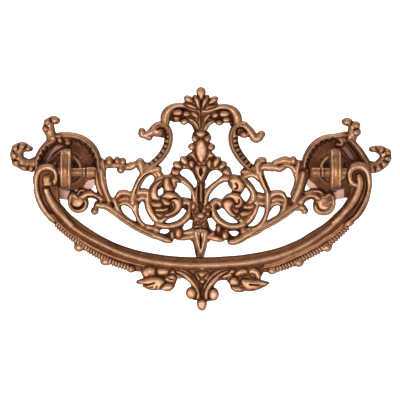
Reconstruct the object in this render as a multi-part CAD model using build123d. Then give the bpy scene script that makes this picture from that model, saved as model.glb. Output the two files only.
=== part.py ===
from build123d import *
import math
import os
import numpy as np

# Cast openwork bail pull with two eye bolts.
# Frame: +X right, +Z up, the front faces -Y.  The origin lies midway between the two
# stud axes, in the plane of the washers' backs, which is the face of the drawer.
# The lengths along Y below are drawn from the plate's flat back.

# ---- driving dimensions (mm) ----
STUD_SPACING = 88.9        # centre to centre of the two studs
PLATE_UNIT = 0.3328        # one drawing unit on the plate
BAIL_UNIT = 0.3299         # one drawing unit on the bail
PLATE_X0, PLATE_Z0 = 200.75, 168.05   # drawing point that lies on the plate's x = 0, z = 0
BAIL_X0, BAIL_Z0 = 200.75, 169.7      # drawing point that lies on the bail's x = 0, z = 0
GRID = 0.6                 # drawing units between samples of the outlines

PLATE_EDGE = 1.0           # thickness of the casting at its outline
PLATE_LEVELS = [(1.6, 1.7), (2.3, 2.45), (3.0, 3.25)]   # crest height over -> raised to
SEAT_R, SEAT_T = 5.9, 1.1  # flat seat for the eye bolt's collar
STUD_HOLE_R = 3.4

BAIL_Y = -9.5              # middle plane of the bail, in front of the plate's back
BAIL_HALF = 0.9            # half thickness of the bail's flat ground
BAIL_LEVELS = [(1.3, 1.45), (1.85, 2.05)]
BAIL_BACK_INSET, BAIL_BACK = 2.6, 1.4

PIN_Z = -0.83              # pin axis, a little under the middle of the eye
PIN_R = 1.36
PIN_BAND_R, KNOB_R, KNOB_NECK_R = 1.5, 1.62, 1.2
# distances from the middle to the pin's root, its end band and the knob's two ends
PIN_STATIONS = {-1: (47.9, 38.85, 38.2, 37.75, 34.4), 1: (50.3, 40.65, 39.85, 39.45, 36.3)}

EYE_R, EYE_W, EYE_HOLE_R, EYE_BEVEL = 7.0, 3.7, 2.3, 0.9
COLLAR_R, COLLAR_T = 5.3, 0.9
NECK_R = 2.45
SHOULDER_R = 3.2
SHANK_R, SHANK_END = 2.083, 31.5
SPIGOT_R, SPIGOT_END = 2.6, 1.2            # the shank is thicker where it passes the washer
PLAIN_END, THREAD_R = 20.0, 1.88          # plain as far as this, then the thread, drawn at its pitch radius
WASHER_R, WASHER_BORE_R, WASHER_T = 10.7, 2.7, 1.2
NUT_AF, NUT_T, NUT_Y, NUT_BORE_R = 8.73, 3.2, 20.6, 1.93

# drawing tables in drawing units (x right, y down)
# PLATE: strokes (crest height mm, profile, points x y width)
PLATE_STROKES = [
 # ---- left end: low curl
 (2.5,'r',[(35,163.5,13),(29,165,12),(22,163,12.5),(17.5,158.5,12.5),(16.8,153,13),(19,148.5,11.5),(23.5,147,9.5),(28,148.3,6),(30.5,149,3.5)]),
 # top curl
 (2.5,'r',[(56.5,120.5,6),(53,120,8),(49.5,122.5,9.2),(48.5,127,11.3),(49.5,131,11),(50.9,135,9.6),(51.7,139,11)]),
 # rim outer left and main rim
 (3.2,'v',[(36.5,168,6.5),(37,161,7),(40,154,7.5),(44,148,7.5),(48.5,143.5,7.5),(53,141,6)]),
 (3.6,'v',[(56,136,6.5),(61,135.6,7),(66,135.4,7.2),(72,135.9,7),(78,137.2,7.2),(84,140.2,7.8),(89.4,144.4,8),(93.6,149.7,8),(96.6,156.2,7.7),(98,163,6.8),(98.6,170,5.9)]),
 (2.6,'r',[(66,138,3),(67.5,141,4)]),
 # side strands
 (3.3,'r',[(101,171,7.5),(101.8,178,8),(103.5,186,7.5),(106,193,6.5),(108.8,200,6)]),
 (2.2,'r',[(97.3,170,4.5),(96.8,178,5),(98.3,186,5.8),(101.2,193,5.4),(104.5,199,5)]),
 # inner ridge left of disc
 (1.9,'r',[(51,161,1.6),(54,156,1.6),(60,151,1.6),(64,149.3,1.6)]),
 # medallion curl
 (2.9,'r',[(101,199,6.6),(97,196.4,6.6),(91.5,194,8.2),(86,194.2,8.2),(81.5,196.5,7)]),
 (2.2,'r',[(84,190,3),(80,190.5,3),(77.8,193.5,3),(78,197.5,3)]),
 (3.2,'r',[(71,195,5),(69.5,200,4.5),(71,206,5),(75,209.8,5.5),(80,210,5.5),(84.3,207.5,5.5),(85.8,203,4.2),(84.5,199.5,4)]),
 (2.6,'r',[(71.5,200.5,3),(74,204,4),(78,204.8,4),(82,203,3)]),
 (2.9,'r',[(72,193.5,5),(75,196.5,6),(77,198,4)]),
 # bud, lower sweep
 (2.7,'r',[(108,205,6),(103,205,7),(98,204.5,7.5),(96,206.5,5.5)]),
 (3.2,'r',[(97,204.6,6),(103,205.6,6.8),(108,207.2,7.4),(113,210.7,7.4),(118,214.4,7.2),(123,218.2,7.4),(129,222.2,7.6),(135,226,7.6),(141,229.3,7.4),(147,232.2,7.2),(153,235.1,7.2),(159,237.1,6.7),(165,239.5,6.9),(170,240.8,5.6)]),
 (2.8,'r',[(114,199,5),(115.7,204,5.5),(118,209.5,5.5),(121.5,214.5,5)]),
 # leaf sprays above sweep
 (2.8,'r',[(117,196,6),(119.5,193,6.5),(123,192.3,6),(128,193,6),(132,195,5)]),
 (2.4,'r',[(119.5,200,3),(124,198.5,4),(128,199,4),(132,202,4)]),
 (2.6,'r',[(120.5,204,4),(125,202.8,4.5),(129.5,204.5,5),(133,209,5.5)]),
 (2.6,'r',[(135.5,205,7),(135.3,211,6.5),(136.8,216,5),(139.5,220.5,6),(143.5,225,5)]),
 (3.1,'r',[(132.5,203,7),(132.5,198,8),(134.1,191,8.8),(136.8,184.6,8.8),(140,178.9,8.6),(144,174.2,8.2),(149.2,171,8.2),(155,169.2,7.4),(159,168.5,5.5)]),
 (2.7,'r',[(139,192.3,6.6),(143,191.7,7.2),(148,192.4,6.8)]),
 (2.7,'r',[(138.5,199,5),(142,197.5,5.5),(146,198.5,5)]),
 (2.6,'r',[(152,172,5),(156,174.5,6),(159,178,5.5)]),
 # junction mass left
 (2.9,'r',[(158,172,7),(160,176,7),(158,179,7)]),
 (3.0,'r',[(158,179,7),(165,178.2,7),(172,178,7.5),(179,178.5,6.5)]),
 (3.0,'r',[(179,178.9,6.8),(184.8,182.2,7.2),(189.7,187.2,7),(193,193,6.4),(194.5,199,6),(196,205,6)]),
 (2.7,'r',[(167.5,180,6),(168,185,7.5),(168.5,189.5,6)]),
 (2.6,'r',[(173.5,179,5),(173.3,184,5),(173.8,188.5,3.5)]),
 (3.1,'r',[(163,178.5,7.4),(158.2,182,8.4),(154.4,187,9.2),(153.2,193,9.2),(155,198,7.4),(159.5,199.5,5)]),
 (2.7,'r',[(148,195,5.6),(147.5,201,6.8),(148.3,207,7),(150.9,213,7),(155,218.8,7),(160,221,6.6),(164.8,217.8,6.4),(167.5,215.3,5.6)]),
 (3.3,'r',[(163,200,5),(164,196,6),(168.5,193.8,6.5),(173.5,194.5,6.5),(177.5,198,6.5),(179,203,6.5),(177.5,208.5,7.6),(173.3,213,7.6),(167.5,215.6,7)]),
 (2.6,'r',[(171.5,202,4),(174.5,205,4.5),(174,209,4),(170,212,3.5),(164.5,213.5,3)]),
 (3.0,'r',[(162,198,5),(165,201.5,6),(168.5,203,4)]),
 (2.4,'r',[(152,202,3),(156,203,5),(160.5,204,4.5)]),
 (2.2,'r',[(156,209,3),(161,210,4.5),(166,209,4)]),
 (3.2,'r',[(157,224.2,6.4),(163,225.8,6.2),(170,226,6.2),(177,224.4,6.6),(183.2,220.8,7.2),(188.6,214.8,7.8),(191,208,7.4),(190,203,6.4),(187,200.9,6.2),(184,202.6,6)]),
 (2.6,'r',[(147,227,5),(152,228,5.5)]),
 (2.6,'r',[(155,229,6),(158,230.5,5)]),
 (2.6,'r',[(171,233,6),(172.5,237,6)]),
 (2.9,'r',[(177.5,232,8),(178.5,236,7)]),
 (2.4,'r',[(178,238.5,4),(184,238.3,4.5),(190,237,5),(195,236,6)]),
 (2.4,'r',[(184,233,4),(189,232.5,5),(193,231.5,6)]),
 # great S arm left
 (2.7,'r',[(147,167.2,7),(150.3,165.5,6.6),(155.4,161.8,7.6),(160.4,157.1,8.1),(164.8,150.8,8.2),(167.6,144.2,8.2),(168.4,138,8.1),(167.7,132,7.8),(165.2,127.8,7.6),(161,125.6,7.6),(157,126.2,7.4)]),
 (3.5,'v',[(147,168.5,3),(151.5,166.8,4),(157,162.8,5),(162,157.6,5),(166.5,151.1,5),(169.3,144.5,5),(170.4,137.5,4.8),(169.6,131,4.6),(166.5,126.2,4.4),(161.5,123.4,4.2),(156.5,124.2,4),(152.5,127.2,3.2)]),
 (3.0,'r',[(153.5,130.9,9.4),(149.3,133,6.6),(146,134.3,6.4)]),
 (2.9,'r',[(141.8,130.6,6.4),(142.1,134,7.2),(146,135.8,5.6)]),
 # bridge left
 (2.7,'r',[(102.5,161.5,4),(103.3,166,4.5),(104,171,3.5)]),
 (2.2,'r',[(106,165.6,5.2),(112,165,5.6),(118,165,5.2),(124,166.2,5.8)]),
 (2.9,'r',[(127,167.1,6.6),(130.6,166.1,8.2),(134.6,164.3,6.2)]),
 (3.0,'r',[(140,162.4,9),(141.3,167,9),(141.8,172,7.2)]),
 # ---- centre top
 (3.0,'r',[(201,96,6),(201,99,2.5)]),
 (2.6,'r',[(198.5,107.5,3),(197.5,103,5),(196,98.5,5),(194.5,96,3)]),
 (2.6,'r',[(203.5,108,3.5),(205,103,6),(206.5,98.5,6),(207.5,96.5,4)]),
 (2.5,'r',[(193.5,100.5,3),(190.5,99.5,6),(187.2,98.3,6.4),(186,98.2,4.6)]),
 (2.5,'r',[(208,104,2.5),(211,101.5,5.5),(214,99.5,6.8),(216,98.8,5)]),
 (2.3,'r',[(196,107.3,3),(191.5,105.3,4),(185.8,102.9,3.6)]),
 (2.3,'r',[(205,108.7,3),(210,107.3,4),(216.3,104,3.8)]),
 (2.2,'r',[(199.5,108,4),(194,103.5,4),(190.5,100.5,4)]),
 (2.2,'r',[(202.5,108.5,4),(206.5,105.5,4),(211.5,102,4)]),
 (3.0,'r',[(199,110.5,4),(193,108.5,5),(187,106,5),(181,105,5),(175.5,105.7,5.5),(170.5,108,7),(167,112,8.8),(165.3,117,9.8),(165.5,121.5,8.5),(166,125,6)]),
 (3.0,'r',[(203,110.8,4),(209,110.3,5),(215,108.3,5),(221,106.7,5.5),(227,107,6),(232.5,109.5,7.5),(236,114,8.8),(237.5,119,9),(237.5,124,8)]),
 (2.5,'r',[(191.5,112.5,4.5),(195,114.5,6),(198.5,117.5,3.5)]),
 (2.9,'r',[(188,118.5,4),(193,119.3,5.5),(197,123.5,6),(199.5,129,5.5)]),
 (2.5,'r',[(210.5,113,4.5),(206,115.5,5.5),(203.8,120,4.5),(202.8,126,3.5)]),
 (2.9,'r',[(214,120.3,3),(209.5,120.8,4.5),(206,124,5.5),(204,129.5,5)]),
 # central fan
 (2.9,'r',[(187.3,165,4),(184.7,161,6),(182.3,158.5,5)]),
 (2.7,'r',[(181,164.5,4),(177,163.2,4.5),(174.8,163.5,3.5)]),
 (2.6,'r',[(179,169.5,4),(176,167.3,4.5)]),
 (2.6,'r',[(177,172,5),(174,171.5,4.5)]),
 (2.3,'r',[(188,166.5,7),(181,167,7),(176,171,7),(173,175,7)]),
 (2.9,'r',[(213.5,166.5,4),(216.3,162.3,6),(218.8,159,5)]),
 (2.7,'r',[(219,166.3,3.5),(222.5,164.3,5),(225,163.5,4)]),
 (2.6,'r',[(222,169.3,4),(226.5,169,5)]),
 (2.6,'r',[(224,172.5,4),(228,173.5,5)]),
 (2.3,'r',[(212,166.5,7),(219,167.5,7),(225,171.5,7),(229,176,7)]),
 # drop and shaft
 (3.1,'r',[(197.3,166,4),(198,171,4),(200,176.5,3.5)]),
 (3.1,'r',[(204.6,166.5,4),(204.2,171,4),(202.3,176.5,3.5)]),
 (2.6,'r',[(201,178,7.5),(201,184,8.8),(201,190,11.3),(200.8,197,12.5),(200.8,204,14),(200.8,212,14.5),(200.3,220,14.4),(200.2,228,14.2),(200.3,234,14)]),
 (3.5,'v',[(201,178,3),(201,184,3.2),(201,192,3.4),(201,203,3)]),
 (3.0,'v',[(196.8,186,2.4),(196.4,196,2.6),(196.4,203,2)]),
 (3.0,'v',[(205.3,186,2.4),(205.6,196,2.6),(205.6,203,2)]),
 (3.0,'r',[(200.5,218,4),(200.6,224,4.5),(200.6,231,4)]),
 (2.8,'r',[(196,232,6),(197,238,6.5),(198.5,244,6),(200,250,5),(200.5,256,5),(200.5,262,4)]),
 (2.8,'r',[(205.5,232,6),(204.8,238,6),(203.5,244,5.5),(202,250,5),(201,256,5),(200.8,262,4)]),
 # ---- right end: low curl
 (2.5,'r',[(371.5,149,4.5),(376,148.8,6.4),(381,150.3,8.8),(385.2,154,11),(385.2,159,11.4),(381.2,163.8,11.2),(376,167,11),(371,166.8,11.5)]),
 (2.5,'r',[(348.5,135.5,3.5),(351.5,137.5,5),(354.5,139,4.5)]),
 (2.4,'r',[(342,138,3),(345.3,140,4.5)]),
 (2.5,'r',[(348,123,4.6),(352,125,7.4),(353.8,129,11),(352.7,133.5,11),(349.8,137,9.6)]),
 (3.2,'v',[(351,140.2,6),(355.1,145.1,6.6),(359.3,150.4,7.2),(363,156.2,7.4),(366.4,161.8,7.4),(368,167,6.4)]),
 (3.6,'v',[(345,134.4,6.2),(337,136,5.7),(330,136.9,6),(323,138.8,6.4),(317.2,142.3,6.9),(312.2,147.2,7.2),(308.4,153.2,7),(305.8,159,6.5),(304.5,166,5.5)]),
 (2.7,'r',[(333,137,3),(339,138,3.5),(342,141.5,3.5),(341,144.5,3),(337,144,3)]),
 (3.3,'r',[(303.5,173,6),(302,180,8),(299.9,187,8),(297,194,7.6),(294.2,200,7.5)]),
 (2.3,'r',[(295.5,170,5),(297,176,5),(297,182,5),(295.5,188,5),(293,194,5)]),
 (2.2,'r',[(306.8,171,4.5),(306,178,4),(303.8,186,4),(301,194,4.5),(298.5,201,5)]),
 (1.9,'r',[(333,190,1.6),(338,187,1.6),(343,182,1.6)]),
 # medallion curl right
 (2.9,'r',[(301,201.6,7.4),(304.8,198.3,7.2),(309.7,195.5,7.8),(315,195.8,7.8),(319,198,6.4)]),
 (2.4,'r',[(306,192.5,4),(312,191,4),(318,191,4),(322,192.5,4)]),
 (3.2,'r',[(315.5,205.5,5),(317.5,210,6),(322,212.3,6),(328,211.8,6),(332.2,207.6,5.6),(333.7,202,4.4),(332.8,196,4.4)]),
 (2.8,'r',[(323,204.3,3),(327,204,4),(330.5,201.5,4)]),
 (2.8,'r',[(323,197,3),(326.5,196.3,4),(330,194,4)]),
 (2.7,'r',[(290,208,6.6),(296,207.2,7),(301,207,7.8),(303.7,208,6)]),
 (3.2,'r',[(297,205.4,6.8),(292,208.8,7.2),(286.5,212.9,7.6),(281,216.9,7.2),(275,220.6,7.3),(269,223.9,7.3),(263,227,7.3),(257,230.5,8.2),(251,233.2,8.2),(245,236.2,8.2),(239.5,239.8,7.7),(234,242,6.6),(230.5,242,6)]),
 (2.8,'r',[(285.8,199,5),(285.3,204,5.5),(284,209,5.5),(281,214,5)]),
 (2.8,'r',[(285,197,3.5),(283.3,194.6,5.5),(279.5,192.8,5.5),(274,193.5,6),(271,196,5)]),
 (2.4,'r',[(283,200,3),(278,199,4),(273,200,4)]),
 (2.6,'r',[(281,204,4),(276.5,203,4.5),(272,205,5),(269,209.5,5),(267.5,215,5)]),
 (3.1,'r',[(260.3,172,7),(261.6,178,7.6),(264.7,185,7.2),(267.5,191.5,6.7),(268,198,7.4),(267.7,204,6.8),(267,212,4.8),(264.3,220.2,5.6),(259.2,226.3,5.4),(253,229,4.5)]),
 (2.6,'r',[(243,177.8,5.4),(247,175.3,6.2),(252,174.3,5.8),(256,175.8,5.8),(259,178.7,5.4)]),
 (2.3,'r',[(243,171.5,4.5),(248,171.3,4),(252,171,3)]),
 (2.7,'r',[(252,168.2,6.8),(247.3,164.4,7.8),(242.6,159.1,8.6),(238.1,152.9,8.8),(234.9,146.2,8.9),(233.6,139.5,9),(234.2,133,9),(236.6,128.5,8.2),(240.5,126,8),(245,126,7.5)]),
 (3.5,'v',[(251,170.5,3),(246.5,166,4.5),(241.3,160.7,5.4),(236.6,154,5.4),(232.8,147,5.4),(231,139.5,5.2),(231.6,132,5),(234.5,126.3,4.6),(239.5,123.4,4.4),(245,123.4,4.2)]),
 (3.0,'r',[(245,126.2,7.4),(248.8,129.3,7.4),(251.8,133.4,7.8),(254.6,137.9,8.4),(258,137.9,8.6),(261.5,134.1,7.5)]),
 (3.0,'r',[(258,172,6),(257.5,165,7),(260,160.7,7),(264,159.8,5.5)]),
 (2.6,'r',[(260.5,170,5.4),(263,167,6.8),(268,166.5,8.8),(273,167,8.8)]),
 (2.6,'r',[(276,167.4,7),(279.5,168.6,7),(283.3,166.9,6.6)]),
 (2.7,'r',[(275,162.5,5.5),(280,161,6.5),(285.5,159.8,7.5),(290,161,6)]),
 (2.5,'r',[(285,164.6,4.6),(290.8,166,5.4),(294.6,169.4,6.2),(296.6,175,6)]),
 (2.7,'r',[(299,162,5),(298,167,5.5),(297,173,4.5)]),
 (2.7,'r',[(262,196.5,6.5),(258,195.5,6.5),(255,196,6)]),
 (2.7,'r',[(263,203.3,5),(259,202.5,5.5),(255,203.5,5)]),
 (3.0,'r',[(222,178.5,6),(229,178.3,7.5),(236,178.5,8),(242,180,7)]),
 (3.0,'r',[(222,178.9,7.4),(216.3,181.9,8),(211.4,186.9,7.4),(207.9,192.3,6.4),(206.1,198,5.7),(205,204,6)]),
 (2.7,'r',[(232,181,6),(233,187,6)]),
 (3.1,'r',[(243,180.5,7),(248.5,184.5,7.5),(252.5,190,8),(253,196.5,8),(251,201.5,6.5),(249,203.5,5)]),
 (2.7,'r',[(256.7,200,6.6),(256.7,206,7),(254.9,212,7.2),(251,217.8,7.4),(246,222,7.8),(241,219.9,7),(238.3,217.2,6.4)]),
 (2.4,'r',[(254,205.5,3),(250,206,5),(246,206,4.5)]),
 (2.2,'r',[(250,211.5,3),(245.5,212,4.5),(241.5,212,4)]),
 (3.3,'r',[(242,204,4.5),(240.5,199,5.5),(236,196,6),(230,196.3,6.5),(225.8,200,6.5),(225.3,205,6.5),(227.9,210.7,7),(232.3,214.7,7),(238,216.6,7)]),
 (2.7,'r',[(229,202.5,6.5),(231,207,6),(231.5,211,5)]),
 (2.8,'r',[(234,206,5),(238,206.5,5),(241.5,204,5)]),
 (3.2,'r',[(244,224.2,6.4),(238,226,6.2),(231,226.3,6.2),(225,224.4,6.6),(218.7,220.3,7.4),(214.1,213.8,7.8),(212.3,207,7.2),(213,202.7,6.8),(216,200.9,6.6),(219,202.6,6.4),(220.5,204.5,5.6)]),
 (2.6,'r',[(249,229.5,6),(254,230,6)]),
 (2.6,'r',[(244,231,8),(244,235,7)]),
 (2.9,'r',[(226,233.5,8),(225.5,237,7)]),
 (2.4,'r',[(219,238.5,4),(213,237.5,4)]),
 (2.4,'r',[(222,240,4),(216,239.5,4.5),(210,237.5,5),(206,237,6)]),
 (2.4,'r',[(213,233.5,4),(209.5,236,4),(206.5,239,4)]),
]
# domes: (height mm, cx, cy, rx, ry, tilt deg)
PLATE_DOMES = [
 (2.9,28,148.3,4.2,2.6,0),(3.0,22.3,146,4.3,3.8,0),(3.0,15.8,148,4.2,4,0),(3.1,14.3,155,4.2,4.5,0),(3.0,16.3,162.5,4.5,3.8,0),(3.0,24,167,4.3,3.6,0),(2.9,31.3,168,3.2,4,0),
 (2.9,54.8,119.8,5,3.8,15),(3.0,47.3,122,3.6,3.4,0),(3.0,46,128.7,3.9,3.6,0),(2.8,52.5,138,5.2,3,20),(2.8,59.8,140,4.2,2.4,40),
 (3.2,68,142.5,3.3,3.3,0),
 (2.6,78,202.5,10.2,10,0),(2.9,94.4,211.1,3.9,3.8,0),
 (3.4,157,130,7.5,6.5,0),(3.7,160.5,132.5,2.9,2.9,0),(3.1,148.8,136.5,3.9,3.9,0),
 (2.9,109,161.3,4.2,5.3,0),(2.7,117,160.7,3.2,4.2,0),(2.8,122.7,161.5,3.3,4,0),(2.7,120.8,169.1,4,4.4,0),
 (3.2,201,91.7,4.7,4.9,0),
 (2.8,178,111.3,5,3.3,0),(2.6,177,116.8,4.2,3,0),(2.7,186.5,113,3.9,2.6,0),(2.9,184,121.3,3.9,3.3,0),
 (2.8,224,113.8,5,2.6,0),(2.6,226,119.5,3.9,3,0),(2.7,215.5,115,3.9,2.4,0),(2.9,219.5,122,3.9,3.3,0),
 (3.6,201,133,4.3,2.6,0),(3.3,195,138,3.1,3.1,0),(3.3,208,138,3.2,3.2,0),(3.3,191.6,146.3,3.2,3.2,0),(3.3,211.5,146.8,3.6,3.6,0),
 (4.4,201.2,150.5,5.8,12.3,0),(2.9,190.8,155.8,3,2.4,0),(2.9,211.5,155.5,3.3,2.6,0),
 (3.0,191.6,163.5,2.4,4,0),(3.0,209,165,2.7,4.3,0),
 (3.1,195.8,206.3,1.8,1.8,0),(3.1,195.8,211.5,1.8,1.8,0),(3.1,206.5,207,3,1.8,0),(3.1,207,212.5,2.5,1.6,0),(3.4,200.5,215.3,3.6,3,0),(3.1,197,224.3,2.5,1.6,0),(3.1,205,224.5,2.3,1.8,0),
 (2.9,374,149,4.2,2.7,0),(3.0,381.3,149.6,3.6,4,0),(3.0,387.8,152.2,3.5,3.8,0),(3.1,387.2,158,4.4,3.4,0),(3.0,384,163.8,4.2,3.4,0),(3.0,378.2,167.5,3.9,3.9,0),(2.9,372.2,168.7,3.4,4.2,0),
 (2.9,347.2,121.6,5.3,3.9,0),(3.0,356,125.1,4.5,4,0),(3.0,356.2,132,4.9,4.2,0),
 (2.6,324.6,203.3,10.9,11,0),(2.9,304.9,210.8,3.6,3.5,0),
 (3.4,244.5,134.3,5,3.4,0),(2.7,293.5,160.5,3.5,4.5,0),(2.8,239.5,187,4.3,5,0),
]
# webs: (height mm, polygon)
PLATE_WEBS = [
 (1.3,[(197.5,97),(204.5,97),(205.5,103),(204.5,110),(197.5,110),(196.5,103)]),
 (1.2,[(172,108),(182,106.5),(194,109.5),(200,111),(200,116),(186,114),(172,114)]),
 (1.2,[(232,110),(221,107.5),(209,110.5),(201,111),(201,116),(216,115),(232,121)]),
 (1.2,[(229,110),(235,112),(235,122),(231,126),(229,120)]),
 (1.2,[(238,128),(243,126.5),(248,129),(247,134),(241,136),(238,133)]),
 (1.2,[(165,125),(167,132),(166,137),(158,136),(156,128)]),
 (1.2,[(240.5,172),(243.5,168),(249,165),(256,168),(256,174),(246,176),(241.5,175)]),
 (1.2,[(302,163),(306,165),(306,173),(299,180),(297,175),(300,168)]),
 (1.2,[(100,158),(104,160),(106,168),(105,176),(100,176),(98,166)]),
 (1.2,[(192,203),(209.5,203),(210.5,218),(209.5,234),(192,234),(191,218)]),
 (1.2,[(118,192),(130,191),(134,198),(133,207),(122,204),(116,200)]),
 (1.2,[(284,192),(272,191),(267,198),(268,207),(279,204),(286,200)]),
 (1.2,[(152,228),(160,223),(170,224),(178,222),(186,229),(182,234),(172,231),(158,232)]),
 (1.2,[(246,228),(240,224),(230,224),(220,221),(214,229),(220,234),(228,231),(240,232)]),
 (1.2,[(188,199),(193,203),(192,212),(188,208)]),
 (1.1,[(172,112),(200,110),(200,132),(194.6,131),(191,124.5),(184,121.5),(171.5,121)]),
 (1.1,[(230,112),(201,110),(201,132),(206.4,131),(210.5,124.8),(218,121.6),(229,122)]),
 (1.3,[(194.8,131),(192,136),(191.8,139.5),(193.5,142),(188,146.5),(192.5,150.5),(189,153),(187,155.5),(181,157),(179.3,161.5),(175,161.5),(173,163),(173.3,166.5),(171.5,168),(171.3,172),(172,178),(201,180),(230,178),(231.8,173.5),(231,170),(229.5,167),(226.8,165.5),(224,161),(220.8,160.5),(220,158),(214,155),(211.5,151),(214.5,149),(215,146),(210,142),(211,137),(207,131)]),
 (1.2,[(143,163),(149,163),(152,167),(148,172),(144,171)]),
 (1.2,[(190,239.5),(192.5,242),(194,247),(195.8,256),(198,262),(203,262),(204.3,256),(206.5,248),(207.5,243),(210,240.5),(206,232),(195,232)]),
 (1.2,[(176,228),(192,228),(196,236),(186,240),(176,238)]),
 (1.2,[(225,229),(210,228),(205,236),(214,240),(226,239)]),
 (1.2,[(150,200),(158,196),(176,196),(180,206),(172,214),(160,221),(152,214)]),
 (1.2,[(254,202),(247,198),(228,197),(223,206),(232,215),(244,221),(252,215)]),
 (1.2,[(108,198),(114,197),(120,203),(120,212),(112,209),(107,204)]),
 (1.2,[(293,200),(288,197),(281,202),(281,212),(289,209),(296,205)]),
 (1.2,[(142,226),(150,230),(160,230.5),(168,234),(174,238),(166,240),(152,235)]),
 (1.2,[(258,227),(250,230),(240,232),(232,234),(228,238),(236,241),(250,235)]),
 (1.2,[(134,195),(141,190),(142,200),(136,206)]),
 (1.2,[(266,193),(259,191),(258,203),(264,207)]),
 (1.2,[(157.5,168),(161,174.6),(168,176.4),(158,180),(152,172)]),
 (1.2,[(141,196),(147,190),(151,193),(150,202),(143,202)]),
 (1.2,[(259,194),(252,192),(250,198),(251,204),(259,206)]),
 (1.2,[(228,183),(230,188),(232,193),(240,195),(245,188),(243,181),(232,180)]),
 (1.2,[(176,182),(176,189),(171,193),(164,195),(160,190),(160,182)]),
 (1.2,[(180,198),(188,199),(188.5,208),(185,209.8),(182,207.5)]),
 (1.2,[(225,200),(216,200),(215,208),(218.8,209.8),(222.3,207.5)]),
]
# low disc of the medallions and their windows
DISC_L = [(66.5,138),(76,138.5),(86,144),(93,154),(95.5,164),(95,170),(93,179),(88,180),(85,183),(82,187.5),(78,189),(70,190.5),(66,190.5),(60,187.5),(58.5,187.5),(59.5,199),(50,200),(45,190),(40,172),(40,160),(44,150),(52,142),(58,138)]
DISC_R = [(335,138),(325,139.5),(316,145),(310,153),(307.5,163),(307.5,172),(309.5,179.3),(317.3,186.7),(321,190),(329,192),(334.5,192.3),(340,189.5),(344.5,189),(345,197),(352,196),(357,185),(362,172),(361,160),(355,150),(350,143),(344,138)]
PLATE_HOLES = [
 # medallion windows
 [(44,163),(47,156),(52,149),(56,145.5),(61,144.6),(63.5,145.5),(60,149),(53,153.5),(50,160),(47,163.5)],
 [(92.5,178.8),(82.5,187.2),(90,189),(96.4,193.2),(95,186),(93.7,180)],
 [(59,187.5),(66,190.5),(68,190.6),(69,194),(67.5,198),(67,207),(59.5,207),(59,197)],
 [(344.5,145.8),(342,148.2),(346,153.5),(350,159.3),(355.2,160.2),(352,153.5),(347.5,147.3)],
 [(309.5,179.3),(317.3,186.7),(312,188.3),(305.5,191.2),(306.5,186),(308.3,180.5)],
 [(334.5,192.3),(340,189.5),(344.5,189),(345,197),(344,207),(338,207),(336,199),(335,195)],
 # left side
 [(105.8,172),(106,180),(107.5,188),(109.5,194),(112,198),(114.5,196.5),(116.5,193),(119,190.5),(123,189.7),(127,190.3),(130.5,191.5),(133,187),(136,180),(139.5,174),(139,171.5),(137.2,169.3),(135,169),(133.5,170),(130,171.6),(127,170.8),(125.2,171.5),(123.7,174),(119.5,174.6),(117,172.3),(116.6,168.8),(111,169.2),(107.3,171.2)],
 [(122.5,209.3),(126.3,207.3),(130,208),(132,211),(136,219),(134,221),(130.5,219.5),(126,216),(122.5,212.5)],
 [(141.2,204.6),(143.8,204.3),(144.2,207.5),(145.3,212),(147.6,217),(151.6,223.4),(149,223.8),(145,224),(140.5,219),(138.3,211),(139,206.5)],
 [(142.2,186.2),(141.8,184.5),(143.4,181.4),(145.8,178.8),(148.2,177.3),(150.8,176.9),(153.2,177.5),(154.4,179.3),(151.8,183.8),(149.4,186),(145,185.8)],
 [(161.2,187),(162.8,188.2),(163.4,191),(162.8,193.8),(161.2,194.8),(160,193.8),(159.4,191.5),(160,188.6)],
 [(175.5,189),(178,183.5),(180.5,182.8),(183.5,183.8),(187.5,187),(190,190),(191.3,193.5),(190.8,195.6),(186,196),(182.8,197),(179.3,194),(175,190.5)],
 [(179.8,173),(181,170.5),(184,168.7),(188,169),(191,170.5),(193.5,174),(196.7,182),(196,187.5),(193.5,185),(186,178.5),(182,175.8)],
 [(183.2,207.8),(184.4,209.5),(184.2,212),(182.6,215.3),(180.2,218.3),(176.5,220.8),(172,222),(169.8,221.8),(169.3,220.6),(170.8,218.6),(175.5,216),(179,213),(181.6,209)],
 [(191.6,219.2),(192.6,220.5),(192.3,225),(191.8,228),(187,230),(184,230.6),(182.4,227.2),(188,223.3),(190.6,220.3)],
 [(159,232.5),(160.8,229.5),(164,229),(168,229.3),(169.5,230.8),(166,234.2),(160,233.3)],
 # right side
 [(267.3,219.6),(268.6,215),(270.5,210.8),(272.8,208),(275.6,207),(278.6,209.4),(276.3,213.2),(273,217.5),(267.5,221)],
 [(251.2,224.6),(252.9,222.2),(255,218),(257.5,212.5),(258.8,208),(260,206.2),(263.8,208.5),(264,212.5),(263,216.5),(260,221),(256.3,224.8),(253.2,225.6)],
 [(249.6,180.6),(251.2,178.9),(254,179),(257.5,181),(260.5,184.5),(264.8,193),(258.5,191.8),(256.5,190.5),(254,186.5),(251,182.5)],
 [(245.3,187.7),(249.8,192.5),(249.8,196.5),(246,202),(242,197.5),(240.7,195),(244,190)],
 [(209.3,198),(211.5,193.7),(215.5,189),(219.8,185.7),(224,184.4),(227.5,184.6),(229.8,187),(232,191.5),(225.5,194.5),(222,198.8),(219,197.8),(215,197.8),(210.3,199.8)],
 [(205.5,185),(206,180),(208,175),(210.5,171.5),(214.5,170),(219,170.5),(222.5,174.5),(220.5,176.8),(211.5,184),(205.5,189)],
 [(219,210),(221.6,208),(224.4,209.6),(227,212.7),(230.5,216.2),(234.2,218.4),(233.8,220.6),(232,221.6),(226,218.9),(221.5,214.3)],
 [(207.3,219.8),(208.6,217.9),(210,218.2),(212.8,222),(215.2,225.3),(215.8,227.5),(214.8,231),(212,230.5),(209.5,227.5),(208.2,223)],
 [(228.8,232),(230.5,231),(237,231),(239,233.5),(236,236.3),(232.5,236.3)],
]
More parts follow.
